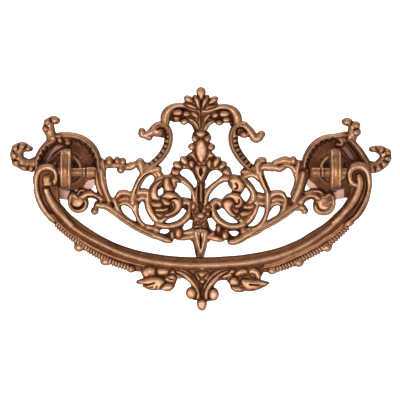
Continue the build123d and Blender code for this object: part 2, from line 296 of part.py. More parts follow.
# BAIL ---------------------------------------------------------------
# inner and outer edges of the bar (flat moulded band)
BAIL_BAR = [(58.5,186),(58.3,200.5),(61.5,205),(69.3,214),(75.4,219.1),(81.5,224),(87.6,228.3),(93.8,232.2),(102.8,238),(108.8,241),(114.8,243.9),(121,246.4),(128,248.8),(135,250.7),(142,252.4),(150,253.9),(158,255.2),(166,256.4),(175,257.2),(185,257.8),(200,258.1),(215,257.8),(225,257.1),(235,256.5),(247,255),(260,252.8),(270,250.7),(280,247.9),(290,244),(300,239.5),(308,234.4),(316,229.5),(325,224.1),(332,218.8),(340,211.6),(345,206.3),(350,197),(352,186),
 (370.6,186),(370.9,190),(369.7,198.2),(366.7,206.3),(362.6,213.5),(357.4,219.4),(351.5,222.7),(346.5,226.8),(336.4,236.8),(331.6,241.2),(323,248.5),(318,251.5),(310,256),(304,259),(294,263.5),(284,267.3),(278,269),(268,272),(263,272.4),(250,272),(235,272),(220,271),(200,271),(185,271),(170,270),(155,271),(141,271.8),(135,271.4),(127,269.2),(122,267.3),(116,265.3),(110,262.7),(99,257),(92,253.5),(85,249),(74,241),(68,236),(61.7,230.8),(54.5,224.4),(49,220),(44.5,215),(40.6,210),(37.6,204.3),(35.2,198),(34.2,192),(34,186)]
# crest heights are half thicknesses (mm from the middle plane)
BAIL_STROKES = [
 # main bright ridge of the bar
 (2.35,'v',[(45,178,7),(45,190,8),(48,197,9.5),(52,204,10.5),(57,211,11),(60,214,11.5),(66,221,12),(72,226.5,12),(80,232,12),(88,237,12),(95,240.5,12),(103,244.5,12),(110,248,12),(118,251.5,12.5),(126,254.5,13),(134,257,13),(142,259.3,13.5),(150,261,14),(160,262.7,14),(170,264,14),(180,264.7,14),(200,265.5,14),(215,265.2,14),(230,264.2,14),(245,263,14),(258,261,14),(270,258.5,13.5),(280,255.7,13),(290,252,12.5),(300,247.5,12.5),(310,242,12),(320,235,12),(330,227.5,12),(340,218,12),(347,210,11),(353,200,10.5),(357,190,9),(358.5,182,8),(358,176,7)]),
 # second thin ridge
 (1.75,'v',[(57,221,2.6),(62,226,3),(68,231,3.2),(75,236,3.2),(83,241.5,3.2),(90,246,3.2),(97,249.5,3.2),(105,253.5,3.2),(113,257,3.2),(120,259.5,3.2),(128,262,3),(135,264,2.8),(142,265.5,2)]),
 (1.75,'v',[(265,265.5,2),(272,264,2.8),(280,261.5,3),(288,258,3.2),(297,254,3.2),(305,250.5,3.2),(315,245,3.2),(325,238.5,3.2),(335,232,3.2),(343,224,2.6)]),
  # cord of the rope edging
 (1.15,'r',[(57,225.3,4.4),(62,229.8,4.6),(68,234.8,4.6),(74,239.8,4.6),(79.5,244,4.6),(85,247.8,4.6),(92,252.3,4.6),(99,256.4,4.6),(105,259.8,4.6),(110,261.9,4.6),(116,264.4,4.4),(122,266.4,4.2),(127,268,3.8)]),
 (1.15,'r',[(275,270,3.4),(279,269.3,4),(284,267.7,4.4),(289,266,4.6),(294,263.8,4.6),(299,261.5,4.6),(304,259,4.6),(311,255.3,4.6),(318,251.5,4.6),(323,248.5,4.6),(328,245.1,4.4),(333,241.2,4.2),(338,236.7,4.2),(343,231.9,4.2),(346.6,228.4,4)]),
 # left volute
 (2.2,'r',[(48,183.5,3),(52,182.9,5),(55.3,180.6,5.8),(56.2,176.5,5.4),(55.2,171.6,6.2),(51.6,168,6.6),(46.5,167,6.4),(41.4,168.6,6),(37.9,172.7,5.6),(36,179,5.6),(36.1,188,5.4),(38,196.1,5.4),(41.3,204.3,5.4),(45.5,211.1,5.4),(49.8,216.3,5.2),(54,220.2,4)]),
 (1.5,'r',[(46.5,178,5),(45.5,184,6)]),
 # right volute
 (2.2,'r',[(356,184.6,4),(352.3,182.8,6),(349.9,178.5,6),(349.5,172.5,6.4),(352.4,167.8,7.4),(358,166,8),(363.6,167.5,7.2),(367.5,172.2,6.4),(369,179.5,5.8),(368.6,188,5.6),(366.4,196.2,5.6),(362.7,204.4,5.6),(358.3,211.4,5.4),(354,216.8,5),(349,220.5,4)]),
 # ---- left flower
 (2.3,'r',[(143.8,269.5,4.6),(145.3,273.5,6.8),(149,276,6),(153.5,276.3,4)]),
 (2.0,'r',[(144,270,5),(149,270,6),(154,272,5)]),
 (2.3,'r',[(158.5,271.5,4.5),(163,270,6),(167.5,271,5.5)]),
 (2.3,'r',[(166.5,277,4),(169.5,280.5,6),(173.5,279,6),(174.5,275.5,4)]),
 (2.3,'r',[(164.5,288,6),(168.3,288,7.2),(171.8,285.6,5.4)]),
 (2.2,'r',[(137.8,282.4,3.4),(143,281.9,5.4),(149,280.8,7),(155,281.2,8),(160,282.8,8)]),
 (2.2,'r',[(144.6,285.9,4),(150,287.2,6),(156,286.8,8),(161,285.5,8)]),
 # ---- right flower
 (2.3,'r',[(236.5,272,4.5),(241,271.8,6.5),(246,272,6)]),
 (2.3,'r',[(250,270.5,4.5),(255,270.8,6),(258.3,274.3,5),(259,278.5,3)]),
 (2.3,'r',[(229.9,280.3,5.8),(233.3,281.3,7.4),(236,283.2,5.6)]),
 (2.3,'r',[(233.2,287.7,4.8),(237.5,289.2,6.8),(242,289.9,5)]),
 (2.2,'r',[(244.5,284,7),(250,282.3,7.5),(257,282.8,5.5),(263,283.4,4.5),(268,283.6,2.6)]),
 (2.2,'r',[(244.5,286.3,8),(250,287.9,7.6),(255.5,287.7,6.2),(260.5,286.6,4.6),(266,284.8,3)]),
 # ---- pendant
 (2.4,'r',[(171,273,5),(177.5,272.9,7),(183.3,274.3,8.2),(188,276.6,7.8),(191.9,280.5,7.3),(194.8,285.2,7),(196.2,290.5,7),(196.2,295.2,6.6),(195,298,5.4)]),
 (2.4,'r',[(233,271.5,4),(224,271.5,5),(217,274,6.5),(212.5,277.7,7),(209,282.2,7),(206.8,286.7,7),(205.9,291.7,7),(206.8,296.5,6.8),(209,299.2,5.6)]),
 (2.0,'r',[(197,274,3.5),(199,278.5,4),(201,282,3.5)]),
 (2.0,'r',[(207.3,274,3.5),(205.3,278.5,4),(203.6,282,3.5)]),
 (2.1,'r',[(202.4,270,4),(202.4,275.5,5.5),(202.4,280,3)]),
 (1.9,'r',[(175.5,274.5,5),(180,277,4)]),
 (1.9,'r',[(230,274.5,5),(224,276.5,4)]),
]
BAIL_DOMES = [
 (2.2,78.8,247.2,5,4.6,0),(2.2,105.3,261.7,5.1,4,0),(2.2,131,269.4,4,3.5,0),
 (2.2,272.4,270.9,4.6,3.7,0),(2.2,298.9,262.9,5,4.2,0),(2.2,327.3,247.4,4.8,4.5,0),
 (2.1,52.3,217.6,5.8,4,40),(2.1,349.5,223,5.6,3.4,-32),
 (2.3,148.3,273.3,6.8,5.6,0),(2.1,163.3,270.8,6.5,3.6,0),(2.3,171,279.3,5.3,5,0),(2.2,167.8,287.4,4.8,3.8,0),(2.4,155.5,283,8.5,6.2,0),
 (2.3,241,272.6,6.4,4,0),(2.2,254.5,272.5,6.3,5,0),(2.3,233.4,281,4.8,4.4,0),(2.2,238.2,288.6,5.8,3.4,0),(2.4,247.3,285,6,6.3,0),
 (2.5,191.3,293.6,5.3,6,0),(2.5,213.4,294.8,5.4,6.4,0),(2.2,203,281.8,2.6,2.6,0),(2.3,201.9,304.3,4.9,6.9,0),
]
BAIL_WEBS = [
 (1.0,[(224,270),(213,276),(208,282),(206,288),(209,292),(213,288),(218,281.5),(228,279.5),(231,272)]),
 (1.0,[(197,296),(208,296),(205,301.5),(199,301.5)]),
 (1.0,[(143,268),(148,269),(150,279),(144,281),(143.5,276)]),
 (1.0,[(260,268),(255,269),(255,280),(261,282),(259,275)]),
 (1.0,[(33.4,178),(35.6,170.2),(40,166.3),(46,166),(54,167),(58,173),(58,186),(60,200),(58,214),(52,220),(45,213),(38,203),(34.5,192)]),
 (1.0,[(371,178),(368,168),(361,163.5),(354,163.5),(349.5,168),(349,178),(352,186),(350,200),(346,212),(352,222),(361,213),(367,203),(370.5,192)]),
 (1.0,[(176,268),(230,268),(224,276),(213,282),(209,288),(208,300),(197,300),(194,287),(188,277),(180,274)]),
 (1.1,[(143,268),(178,268),(176,282),(171,290),(154,289),(148,285),(144,276)]),
 (1.1,[(229,268),(262,268),(259,281),(252,290),(234,290),(229,281)]),
 (1.0,[(197,296),(207,296),(204,301),(200,301)]),
]


def spline(pts, step):
    """Smooth open curve through the points, sampled densely."""
    p = np.array(pts, float)
    e = np.vstack([2 * p[0] - p[1], p, 2 * p[-1] - p[-2]])
    out = []
    for i in range(1, len(e) - 2):
        a, b, c, d = e[i - 1], e[i], e[i + 1], e[i + 2]
        n = max(1, int(math.ceil(math.hypot(c[0] - b[0], c[1] - b[1]) / step)))
        t = (np.arange(n) / n)[:, None]
        out.append(0.5 * ((2 * b) + (-a + c) * t + (2 * a - 5 * b + 4 * c - d) * t * t
                          + (-a + 3 * b - 3 * c + d) * t ** 3))
    out.append(p[-1:])
    return np.vstack(out)


def smooth_loop(poly, step=1.2):
    """Smooth closed curve through the points."""
    P = np.array(poly, float)
    n = len(P)
    out = []
    for i in range(n):
        a, b, c, d = P[i - 1], P[i], P[(i + 1) % n], P[(i + 2) % n]
        m = max(2, int(math.ceil(math.hypot(*(c - b)) / step)))
        t = (np.arange(m) / m)[:, None]
        out.append(0.5 * ((2 * b) + (-a + c) * t + (2 * a - 5 * b + 4 * c - d) * t * t
                          + (-a + 3 * b - 3 * c + d) * t ** 3))
    return np.vstack(out)


def loop_distance(px, py, poly):
    """Signed distance to a closed loop, positive inside."""
    P = np.array(poly, float)
    Q = np.roll(P, -1, 0)
    d2 = np.full(px.shape, 1e18)
    ins = np.zeros(px.shape, bool)
    for (x0, y0), (x1, y1) in zip(P, Q):
        ex, ey = x1 - x0, y1 - y0
        L = ex * ex + ey * ey
        if L < 1e-12:
            continue
        t = np.clip(((px - x0) * ex + (py - y0) * ey) / L, 0, 1)
        d2 = np.minimum(d2, (px - x0 - t * ex) ** 2 + (py - y0 - t * ey) ** 2)
        c = (y0 > py) != (y1 > py)
        ins ^= c & (px < x0 + (py - y0) * ex / (ey if ey != 0 else 1e-12))
    d = np.sqrt(d2)
    return np.where(ins, d, -d)


class Relief:
    """Outline field F (positive inside the metal) and crest height H over the drawing."""

    def __init__(self, x0, y0, x1, y1, step, edge):
        self.x = np.arange(x0, x1 + step / 2, step)
        self.y = np.arange(y0, y1 + step / 2, step)
        self.step, self.edge = step, edge
        self.X, self.Y = np.meshgrid(self.x, self.y)
        self.F = np.full(self.X.shape, -50.0)
        self.H = np.full(self.X.shape, float(edge))

    def window(self, x0, y0, x1, y1, m):
        i0 = max(0, int((x0 - m - self.x[0]) / self.step))
        i1 = max(i0, min(len(self.x), int((x1 + m - self.x[0]) / self.step) + 2))
        j0 = max(0, int((y0 - m - self.y[0]) / self.step))
        j1 = max(j0, min(len(self.y), int((y1 + m - self.y[0]) / self.step) + 2))
        return slice(j0, j1), slice(i0, i1)

    def merge(self, sl, f, h, k):
        F = self.F[sl]
        b = np.clip(0.5 + 0.5 * (f - F) / k, 0, 1)
        self.F[sl] = F * (1 - b) + f * b + k * b * (1 - b)
        self.H[sl] = np.maximum(self.H[sl], h)

    def stroke(self, crest, prof, pts, k=1.1):
        q = spline(pts, 0.8)
        sl = self.window(q[:, 0].min(), q[:, 1].min(), q[:, 0].max(), q[:, 1].max(), q[:, 2].max() / 2 + 3)
        best = np.full(self.X[sl].shape, -9.0)
        bt = np.full(best.shape, 9.0)
        for i in range(len(q) - 1):
            x0, y0, w0 = q[i]
            x1, y1, w1 = q[i + 1]
            s2 = self.window(min(x0, x1), min(y0, y1), max(x0, x1), max(y0, y1), max(w0, w1) / 2 + 2.5)
            X, Y = self.X[s2], self.Y[s2]
            loc = (slice(s2[0].start - sl[0].start, s2[0].stop - sl[0].start),
                   slice(s2[1].start - sl[1].start, s2[1].stop - sl[1].start))
            ex, ey = x1 - x0, y1 - y0
            t = np.clip(((X - x0) * ex + (Y - y0) * ey) / (ex * ex + ey * ey + 1e-12), 0, 1)
            d = np.hypot(X - x0 - t * ex, Y - y0 - t * ey)
            w = (w0 + (w1 - w0) * t) / 2
            m = (w - d) > best[loc]
            best[loc] = np.where(m, w - d, best[loc])
            bt[loc] = np.where(m, d / np.maximum(w, 0.2), bt[loc])
        t = np.clip(bt, 0, 1)
        if prof == 'r':
            p = np.clip(1 - t * t, 0, 1) ** 0.58
        else:
            p = 0.93 * np.clip(1 - t, 0, 1) ** 0.85 + 0.07 * (1 - t * t)
        self.merge(sl, best, np.where(best > 0, self.edge + (crest - self.edge) * p, self.edge), k)

    def dome(self, crest, cx, cy, rx, ry, ang):
        sl = self.window(cx - rx, cy - ry, cx + rx, cy + ry, 4)
        X, Y, a = self.X[sl] - cx, self.Y[sl] - cy, math.radians(ang)
        r = np.hypot((X * math.cos(a) + Y * math.sin(a)) / rx, (-X * math.sin(a) + Y * math.cos(a)) / ry)
        h = self.edge + (crest - self.edge) * np.sqrt(np.clip(1 - r * r, 0, 1))
        self.merge(sl, (1 - r) * min(rx, ry), h, 1.1)

    def web(self, z, poly):
        P = smooth_loop(poly)
        sl = self.window(P[:, 0].min(), P[:, 1].min(), P[:, 0].max(), P[:, 1].max(), 3)
        f = loop_distance(self.X[sl], self.Y[sl], P)
        self.merge(sl, f, np.where(f > 0, z, self.edge), 0.5)

    def cut(self, poly, shrink=0.45):
        P = smooth_loop(poly)
        sl = self.window(P[:, 0].min(), P[:, 1].min(), P[:, 0].max(), P[:, 1].max(), 3)
        f = loop_distance(self.X[sl], self.Y[sl], P) - shrink
        self.F[sl] = np.minimum(self.F[sl], -f)


def contours(F, xs, ys):
    """Closed zero lines of F, inside on the left, as arrays of (x, y)."""
    pos = F > 0
    ny, nx = F.shape
    nxt, pt = {}, {}

    def hpt(j, i):          # crossing on the edge (j, i)-(j, i+1)
        k = (0, j, i)
        if k not in pt:
            a, b = F[j, i], F[j, i + 1]
            pt[k] = (xs[i] + (xs[i + 1] - xs[i]) * a / (a - b), ys[j])
        return k

    def vpt(j, i):          # crossing on the edge (j, i)-(j+1, i)
        k = (1, j, i)
        if k not in pt:
            a, b = F[j, i], F[j + 1, i]
            pt[k] = (xs[i], ys[j] + (ys[j + 1] - ys[j]) * a / (a - b))
        return k

    code = (pos[:-1, :-1] * 1 + pos[:-1, 1:] * 2 + pos[1:, 1:] * 4 + pos[1:, :-1] * 8)
    for j, i in zip(*np.nonzero((code > 0) & (code < 15))):
        c = code[j, i]
        T, R, Bm, L = (lambda: hpt(j, i)), (lambda: vpt(j, i + 1)), (lambda: hpt(j + 1, i)), (lambda: vpt(j, i))
        table = {1: [(L, T)], 2: [(T, R)], 3: [(L, R)], 4: [(R, Bm)], 6: [(T, Bm)], 7: [(L, Bm)],
                 8: [(Bm, L)], 9: [(Bm, T)], 11: [(Bm, R)], 12: [(R, L)], 13: [(R, T)], 14: [(T, L)],
                 5: [(L, T), (R, Bm)], 10: [(T, R), (Bm, L)]}
        for a, b in table[c]:
            nxt[a()] = b()
    loops = []
    while nxt:
        k, loop = next(iter(nxt)), []
        while k in nxt:
            loop.append(pt[k])
            k = nxt.pop(k)
        loops.append(np.array(loop))
    return loops


def area(p):
    x, y = p[:, 0], p[:, 1]
    return 0.5 * float(np.sum(x * np.roll(y, -1) - np.roll(x, -1) * y))


def simplify(p, tol):
    """Closed loop with every point that lies within tol of its chord left out."""
    n = len(p)
    a = 0
    b = int(np.argmax(np.hypot(*(p - p[0]).T)))
    keep = {a, b}
    q = np.vstack([p, p[:1]])
    stack = [(a, b), (b, n)]
    while stack:
        i, j = stack.pop()
        if j - i < 2:
            continue
        s, e = q[i], q[j]
        d = e - s
        L = math.hypot(*d) or 1e-9
        m = np.abs((q[i + 1:j, 0] - s[0]) * d[1] - (q[i + 1:j, 1] - s[1]) * d[0]) / L
        k = int(np.argmax(m))
        if m[k] > tol:
            keep.add(i + 1 + k)
            stack += [(i, i + 1 + k), (i + 1 + k, j)]
    out = p[sorted(keep)]
    gap = np.hypot(*(out - np.roll(out, 1, 0)).T)
    return out[gap > 0.03]


def crosses_itself(p):
    """True if any two sides of the closed loop cross."""
    q = np.roll(p, -1, 0)

    def turn(o, u, v):
        return (u[..., 0] - o[..., 0]) * (v[..., 1] - o[..., 1]) - (u[..., 1] - o[..., 1]) * (v[..., 0] - o[..., 0])
    n = len(p)
    for i in range(n):
        a, b = p[i][None], q[i][None]
        m = (turn(a, b, p) * turn(a, b, q) <= 0) & (turn(p, q, a) * turn(p, q, b) <= 0)
        m[[i, (i + 1) % n, (i - 1) % n]] = False
        if m.any():
            return True
    return False


def soften(H, n):
    """H averaged n times with its neighbours."""
    for _ in range(n):
        H = (H + np.roll(H, 1, 0) + np.roll(H, -1, 0) + np.roll(H, 1, 1) + np.roll(H, -1, 1)) / 5
    return H


def faces_of(F, R, to_mm, tol, min_area=0.5, min_hole=0.25):
    """Outlines, in the XZ plane, of the regions where F is positive, each with its holes."""
    F = np.where(F == 0, 1e-6, F)
    loops = []
    for c in contours(F, R.x, R.y):
        if len(c) < 6:
            continue
        c = to_mm(c)
        p = simplify(c, tol)
        for finer in (0.7, 0.45, 0.25, 0.1):
            if len(p) < 4 or not crosses_itself(p):
                break
            p = simplify(c, tol * finer)
        if len(p) >= 4:
            loops.append(p)
    solid = [p for p in loops if area(p) > min_area]
    holes = [p for p in loops if area(p) < -min_hole]
    if sum(area(p) for p in loops) < 0:
        solid, holes = [p for p in loops if area(p) < -min_area], [p for p in loops if area(p) > min_hole]
    out = []
    for s in solid:
        inner = []
        for h in holes:
            if loop_distance(np.array([h[0, 0]]), np.array([h[0, 1]]), s)[0] > 0:
                inner.append(h)
        out.append((s, inner))
    return out


def prism(loops, y0, y1):
    """Prism between the planes y0 and y1 (y0 < y1) of outlines with their holes."""
    parts = []
    for outer, inner in loops:
        def wire(p):
            return Wire.make_polygon([Vector(float(x), y0, float(z)) for x, z in p], close=True)
        f = Face(wire(outer), [wire(h) for h in inner])
        parts.append(Solid.extrude(f, Vector(0, y1 - y0, 0)))
    return parts


def one_solid(shape):
    s = shape.solids()
    s = sorted(s, key=lambda q: q.volume)
    print("  solids", [round(q.volume, 2) for q in s], "faces", len(s[-1].faces()), "valid", s[-1].is_valid)
    return s[-1]


def cyl(x, y, z, axis, r, length):
    """Cylinder from the point (x, y, z) along axis."""
    return Solid.make_cylinder(r, length, Plane(origin=(x, y, z), z_dir=axis))


def plate_mm(c):
    return np.column_stack([(c[:, 0] - PLATE_X0) * PLATE_UNIT, (PLATE_Z0 - c[:, 1]) * PLATE_UNIT])


def bail_mm(c):
    return np.column_stack([(c[:, 0] - BAIL_X0) * BAIL_UNIT, (BAIL_Z0 - c[:, 1]) * BAIL_UNIT])


def plate_relief():
    R = Relief(0, 80, 400, 320, GRID, PLATE_EDGE)
    for z, p in PLATE_WEBS:
        R.web(z, p)
    for p in (DISC_L, DISC_R):
        R.web(SEAT_T, p)
    for c, prof, q in PLATE_STROKES:
        R.stroke(c, prof, q)
    for d in PLATE_DOMES:
        R.dome(*d)
    R.F += 0.3
    for p in PLATE_HOLES:
        R.cut(p)
    for side in (-1, 1):
        cx = PLATE_X0 + side * STUD_SPACING / 2 / PLATE_UNIT
        seat = SEAT_R / PLATE_UNIT - np.hypot(R.X - cx, R.Y - PLATE_Z0)
        R.H = np.where(seat > 0, SEAT_T, R.H)
        R.F = np.maximum(R.F, seat)
    return R


def bail_relief():
    R = Relief(0, 80, 400, 320, GRID, 0.6)
    R.web(1.0, BAIL_BAR)
    for z, p in BAIL_WEBS:
        R.web(z, p)
    for c, prof, q in BAIL_STROKES:
        R.stroke(c, prof, q)
    for d in BAIL_DOMES:
        R.dome(*d)
    R.F += 0.35
    return R


def make_backplate():
    R = plate_relief()
    body = prism(faces_of(R.F, R, plate_mm, 0.07), -PLATE_EDGE, 0.0)
    print("plate ground", len(body))
    whole = max(body, key=lambda s: s.volume)
    H, low = soften(R.H, 2), PLATE_EDGE
    for n, (over, top) in enumerate(PLATE_LEVELS):
        inside = np.minimum((H - over) * 2, R.F - 0.6 * (n + 1))
        layer = prism(faces_of(inside, R, plate_mm, 0.1, 0.5, 0.6), -top, -low + 0.2)
        whole = one_solid(whole.fuse(*layer))
        low = top
    for side in (-1, 1):
        whole = whole - cyl(side * STUD_SPACING / 2, 1, 0, (0, -1, 0), STUD_HOLE_R, 8)
    return one_solid(whole)


def make_bail():
    R = bail_relief()
    ground = prism(faces_of(R.F, R, bail_mm, 0.07), BAIL_Y - BAIL_HALF, BAIL_Y + BAIL_HALF)
    print("bail ground", len(ground))
    whole = max(ground, key=lambda s: s.volume)
    H, low = soften(R.H, 2), BAIL_HALF
    for n, (over, top) in enumerate(BAIL_LEVELS):
        inside = np.minimum((H - over) * 2, R.F - 0.6 * (n + 1))
        layer = prism(faces_of(inside, R, bail_mm, 0.1, 0.5, 0.6), BAIL_Y - top, BAIL_Y - low + 0.2)
        whole = one_solid(whole.fuse(*layer))
        low = top
    layer = prism(faces_of(R.F - BAIL_BACK_INSET, R, bail_mm, 0.1, 0.5, 0.6),
                  BAIL_Y + BAIL_HALF - 0.2, BAIL_Y + BAIL_BACK)
    whole = one_solid(whole.fuse(*layer))
    layers = []
    for side in (-1, 1):
        # pin through the eye, its end band, a neck and the round-ended knob
        root, band0, band1, knob0, knob1 = PIN_STATIONS[side]
        d = (-side, 0, 0)
        layers.append(cyl(side * root, BAIL_Y, PIN_Z, d, PIN_R, root - band1))
        layers.append(cyl(side * band0, BAIL_Y, PIN_Z, d, PIN_BAND_R, band0 - band1))
        layers.append(cyl(side * (band1 + 0.1), BAIL_Y, PIN_Z, d, KNOB_NECK_R, band1 - knob0 + 0.2))
        knob = cyl(side * knob0, BAIL_Y, PIN_Z, d, KNOB_R, knob0 - knob1)
        end = max(knob.edges().filter_by(GeomType.CIRCLE), key=lambda e: -side * e.center().X)
        layers.append(knob.fillet(1.1, [end]))
    return one_solid(whole.fuse(*layers))


def make_eye_bolt(side):
    x = side * STUD_SPACING / 2
    ring = cyl(x - EYE_W / 2, BAIL_Y, 0, (1, 0, 0), EYE_R, EYE_W)
    ring = ring.chamfer(EYE_BEVEL, None, ring.edges().filter_by(GeomType.CIRCLE))
    # collar with a dished front, neck, shoulder and shank, turned about the stud axis
    y = -SEAT_T
    prof = [(0, BAIL_Y + EYE_HOLE_R + 1.0), (NECK_R, BAIL_Y + EYE_HOLE_R + 1.0), (NECK_R, y - COLLAR_T - 0.4),
            (2.9, y - COLLAR_T + 0.25), (COLLAR_R - 0.75, y - COLLAR_T + 0.12),
            (COLLAR_R - 0.45, y - COLLAR_T), (COLLAR_R - 0.15, y - COLLAR_T + 0.05), (COLLAR_R, y - COLLAR_T + 0.35),
            (COLLAR_R, y), (SHOULDER_R, y), (SHOULDER_R, 0), (SPIGOT_R, 0), (SPIGOT_R, SPIGOT_END), (SHANK_R, SPIGOT_END),
            (SHANK_R, PLAIN_END),
            (THREAD_R, PLAIN_END + 0.2), (THREAD_R, SHANK_END - 0.5), (THREAD_R - 0.4, SHANK_END), (0, SHANK_END)]
    w = Wire.make_polygon([Vector(x + r, yy, 0) for r, yy in prof], close=True)
    stem = Solid.revolve(Face(w), 360, Axis((x, 0, 0), (0, 1, 0)))
    eye = cyl(x - EYE_W, BAIL_Y, 0, (1, 0, 0), EYE_HOLE_R, 2 * EYE_W)
    return one_solid(ring.fuse(stem) - eye)


def make_washer(side):
    x = side * STUD_SPACING / 2
    w = cyl(x, 0, 0, (0, 1, 0), WASHER_R, WASHER_T) - cyl(x, -1, 0, (0, 1, 0), WASHER_BORE_R, WASHER_T + 2)
    w = w.solids()[0]
    rim = [e for e in w.edges().filter_by(GeomType.CIRCLE) if e.radius > WASHER_R - 0.1]
    return one_solid(w.chamfer(0.2, None, rim))


def make_nut(side):
    x = side * STUD_SPACING / 2
    r = NUT_AF / math.sqrt(3)
    pts = [Vector(x + r * math.cos(math.radians(a)), NUT_Y, r * math.sin(math.radians(a))) for a in range(0, 360, 60)]
    body = Solid.extrude(Face(Wire.make_polygon(pts, close=True)), Vector(0, NUT_T, 0))
    # corners turned off at both faces
    c = 0.45
    prof = [(0, NUT_Y), (NUT_AF / 2 - 0.05, NUT_Y), (r + 0.3, NUT_Y + c + 0.35), (r + 0.3, NUT_Y + NUT_T - c - 0.35),
            (NUT_AF / 2 - 0.05, NUT_Y + NUT_T), (0, NUT_Y + NUT_T)]
    w = Wire.make_polygon([Vector(x + a, b, 0) for a, b in prof], close=True)
    turned = Solid.revolve(Face(w), 360, Axis((x, 0, 0), (0, 1, 0)))
    nut = body & turned
    return one_solid(nut - cyl(x, NUT_Y - 1, 0, (0, 1, 0), NUT_BORE_R, NUT_T + 2))


def main():
    os.makedirs("parts", exist_ok=True)
    nodes = {
        "backplate": make_backplate(),
        "bail": make_bail(),
    }
    for name, side in (("left", -1), ("right", 1)):
        nodes["eye_bolt_" + name] = make_eye_bolt(side)
        nodes["washer_" + name] = make_washer(side)
        nodes["nut_" + name] = make_nut(side)
    # pieces are drawn from the plate's back; y = 0 is the washers' back, where the drawer's face is
    for name, shape in nodes.items():
        shape = shape.moved(Location((0, -WASHER_T, 0)))
        shape.label = name
        export_step(shape, f"parts/{name}.step")
        b = shape.bounding_box()
        print(name, "valid", shape.is_valid, [round(v, 2) for v in (b.min.X, b.min.Y, b.min.Z, b.max.X, b.max.Y, b.max.Z)])


main()
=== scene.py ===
import math

import bpy
import numpy as np
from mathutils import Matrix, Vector


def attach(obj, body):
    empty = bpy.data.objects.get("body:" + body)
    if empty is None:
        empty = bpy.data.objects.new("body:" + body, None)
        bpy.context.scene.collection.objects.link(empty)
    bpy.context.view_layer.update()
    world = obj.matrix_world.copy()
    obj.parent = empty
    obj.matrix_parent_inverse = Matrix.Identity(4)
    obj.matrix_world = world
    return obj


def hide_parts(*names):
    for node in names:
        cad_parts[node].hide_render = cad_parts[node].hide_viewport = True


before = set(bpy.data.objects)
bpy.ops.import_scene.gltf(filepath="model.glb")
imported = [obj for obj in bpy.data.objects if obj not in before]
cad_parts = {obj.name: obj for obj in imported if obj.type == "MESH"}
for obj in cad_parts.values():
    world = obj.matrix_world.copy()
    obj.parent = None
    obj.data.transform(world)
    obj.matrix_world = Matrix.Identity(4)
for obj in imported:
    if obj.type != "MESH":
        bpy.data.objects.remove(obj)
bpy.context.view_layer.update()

# Cast openwork bail pull: the finish of every surface, and the relief of the castings.
# Drawing units are turned into millimetres here, and into metres when a mesh is made.
STUD_SPACING = 88.9
PLATE_UNIT, BAIL_UNIT = 0.3328, 0.3299
PLATE_X0, PLATE_Z0 = 200.75, 168.05
BAIL_X0, BAIL_Z0 = 200.75, 169.7
SHIFT = -1.2               # the plate's flat back lies this far in front of the drawer's face
PLATE_EDGE = 1.0
SEAT_R, SEAT_T, STUD_HOLE_R = 5.9, 1.1, 3.4
BAIL_Y, PIN_Z = -9.5, -0.83
PIN_R, PIN_BAND_R, KNOB_R, KNOB_NECK_R = 1.36, 1.5, 1.62, 1.2
PIN_STATIONS = {-1: (47.9, 38.85, 38.2, 37.75, 34.4), 1: (50.3, 40.65, 39.85, 39.45, 36.3)}
EYE_R, EYE_W, EYE_HOLE_R = 7.0, 3.7, 2.3
COLLAR_R, COLLAR_T, NECK_R, SHOULDER_R = 5.3, 0.9, 2.45, 3.2
SPIGOT_R, SPIGOT_END = 2.6, 1.2
SHANK_R, SHANK_END, THREAD_PITCH = 2.083, 31.5, 0.794
STEP = 0.4                 # drawing units between samples of the reliefs
GROW = 0.85                 # forms swell this far over the ground, so that neighbours meet in a fine groove

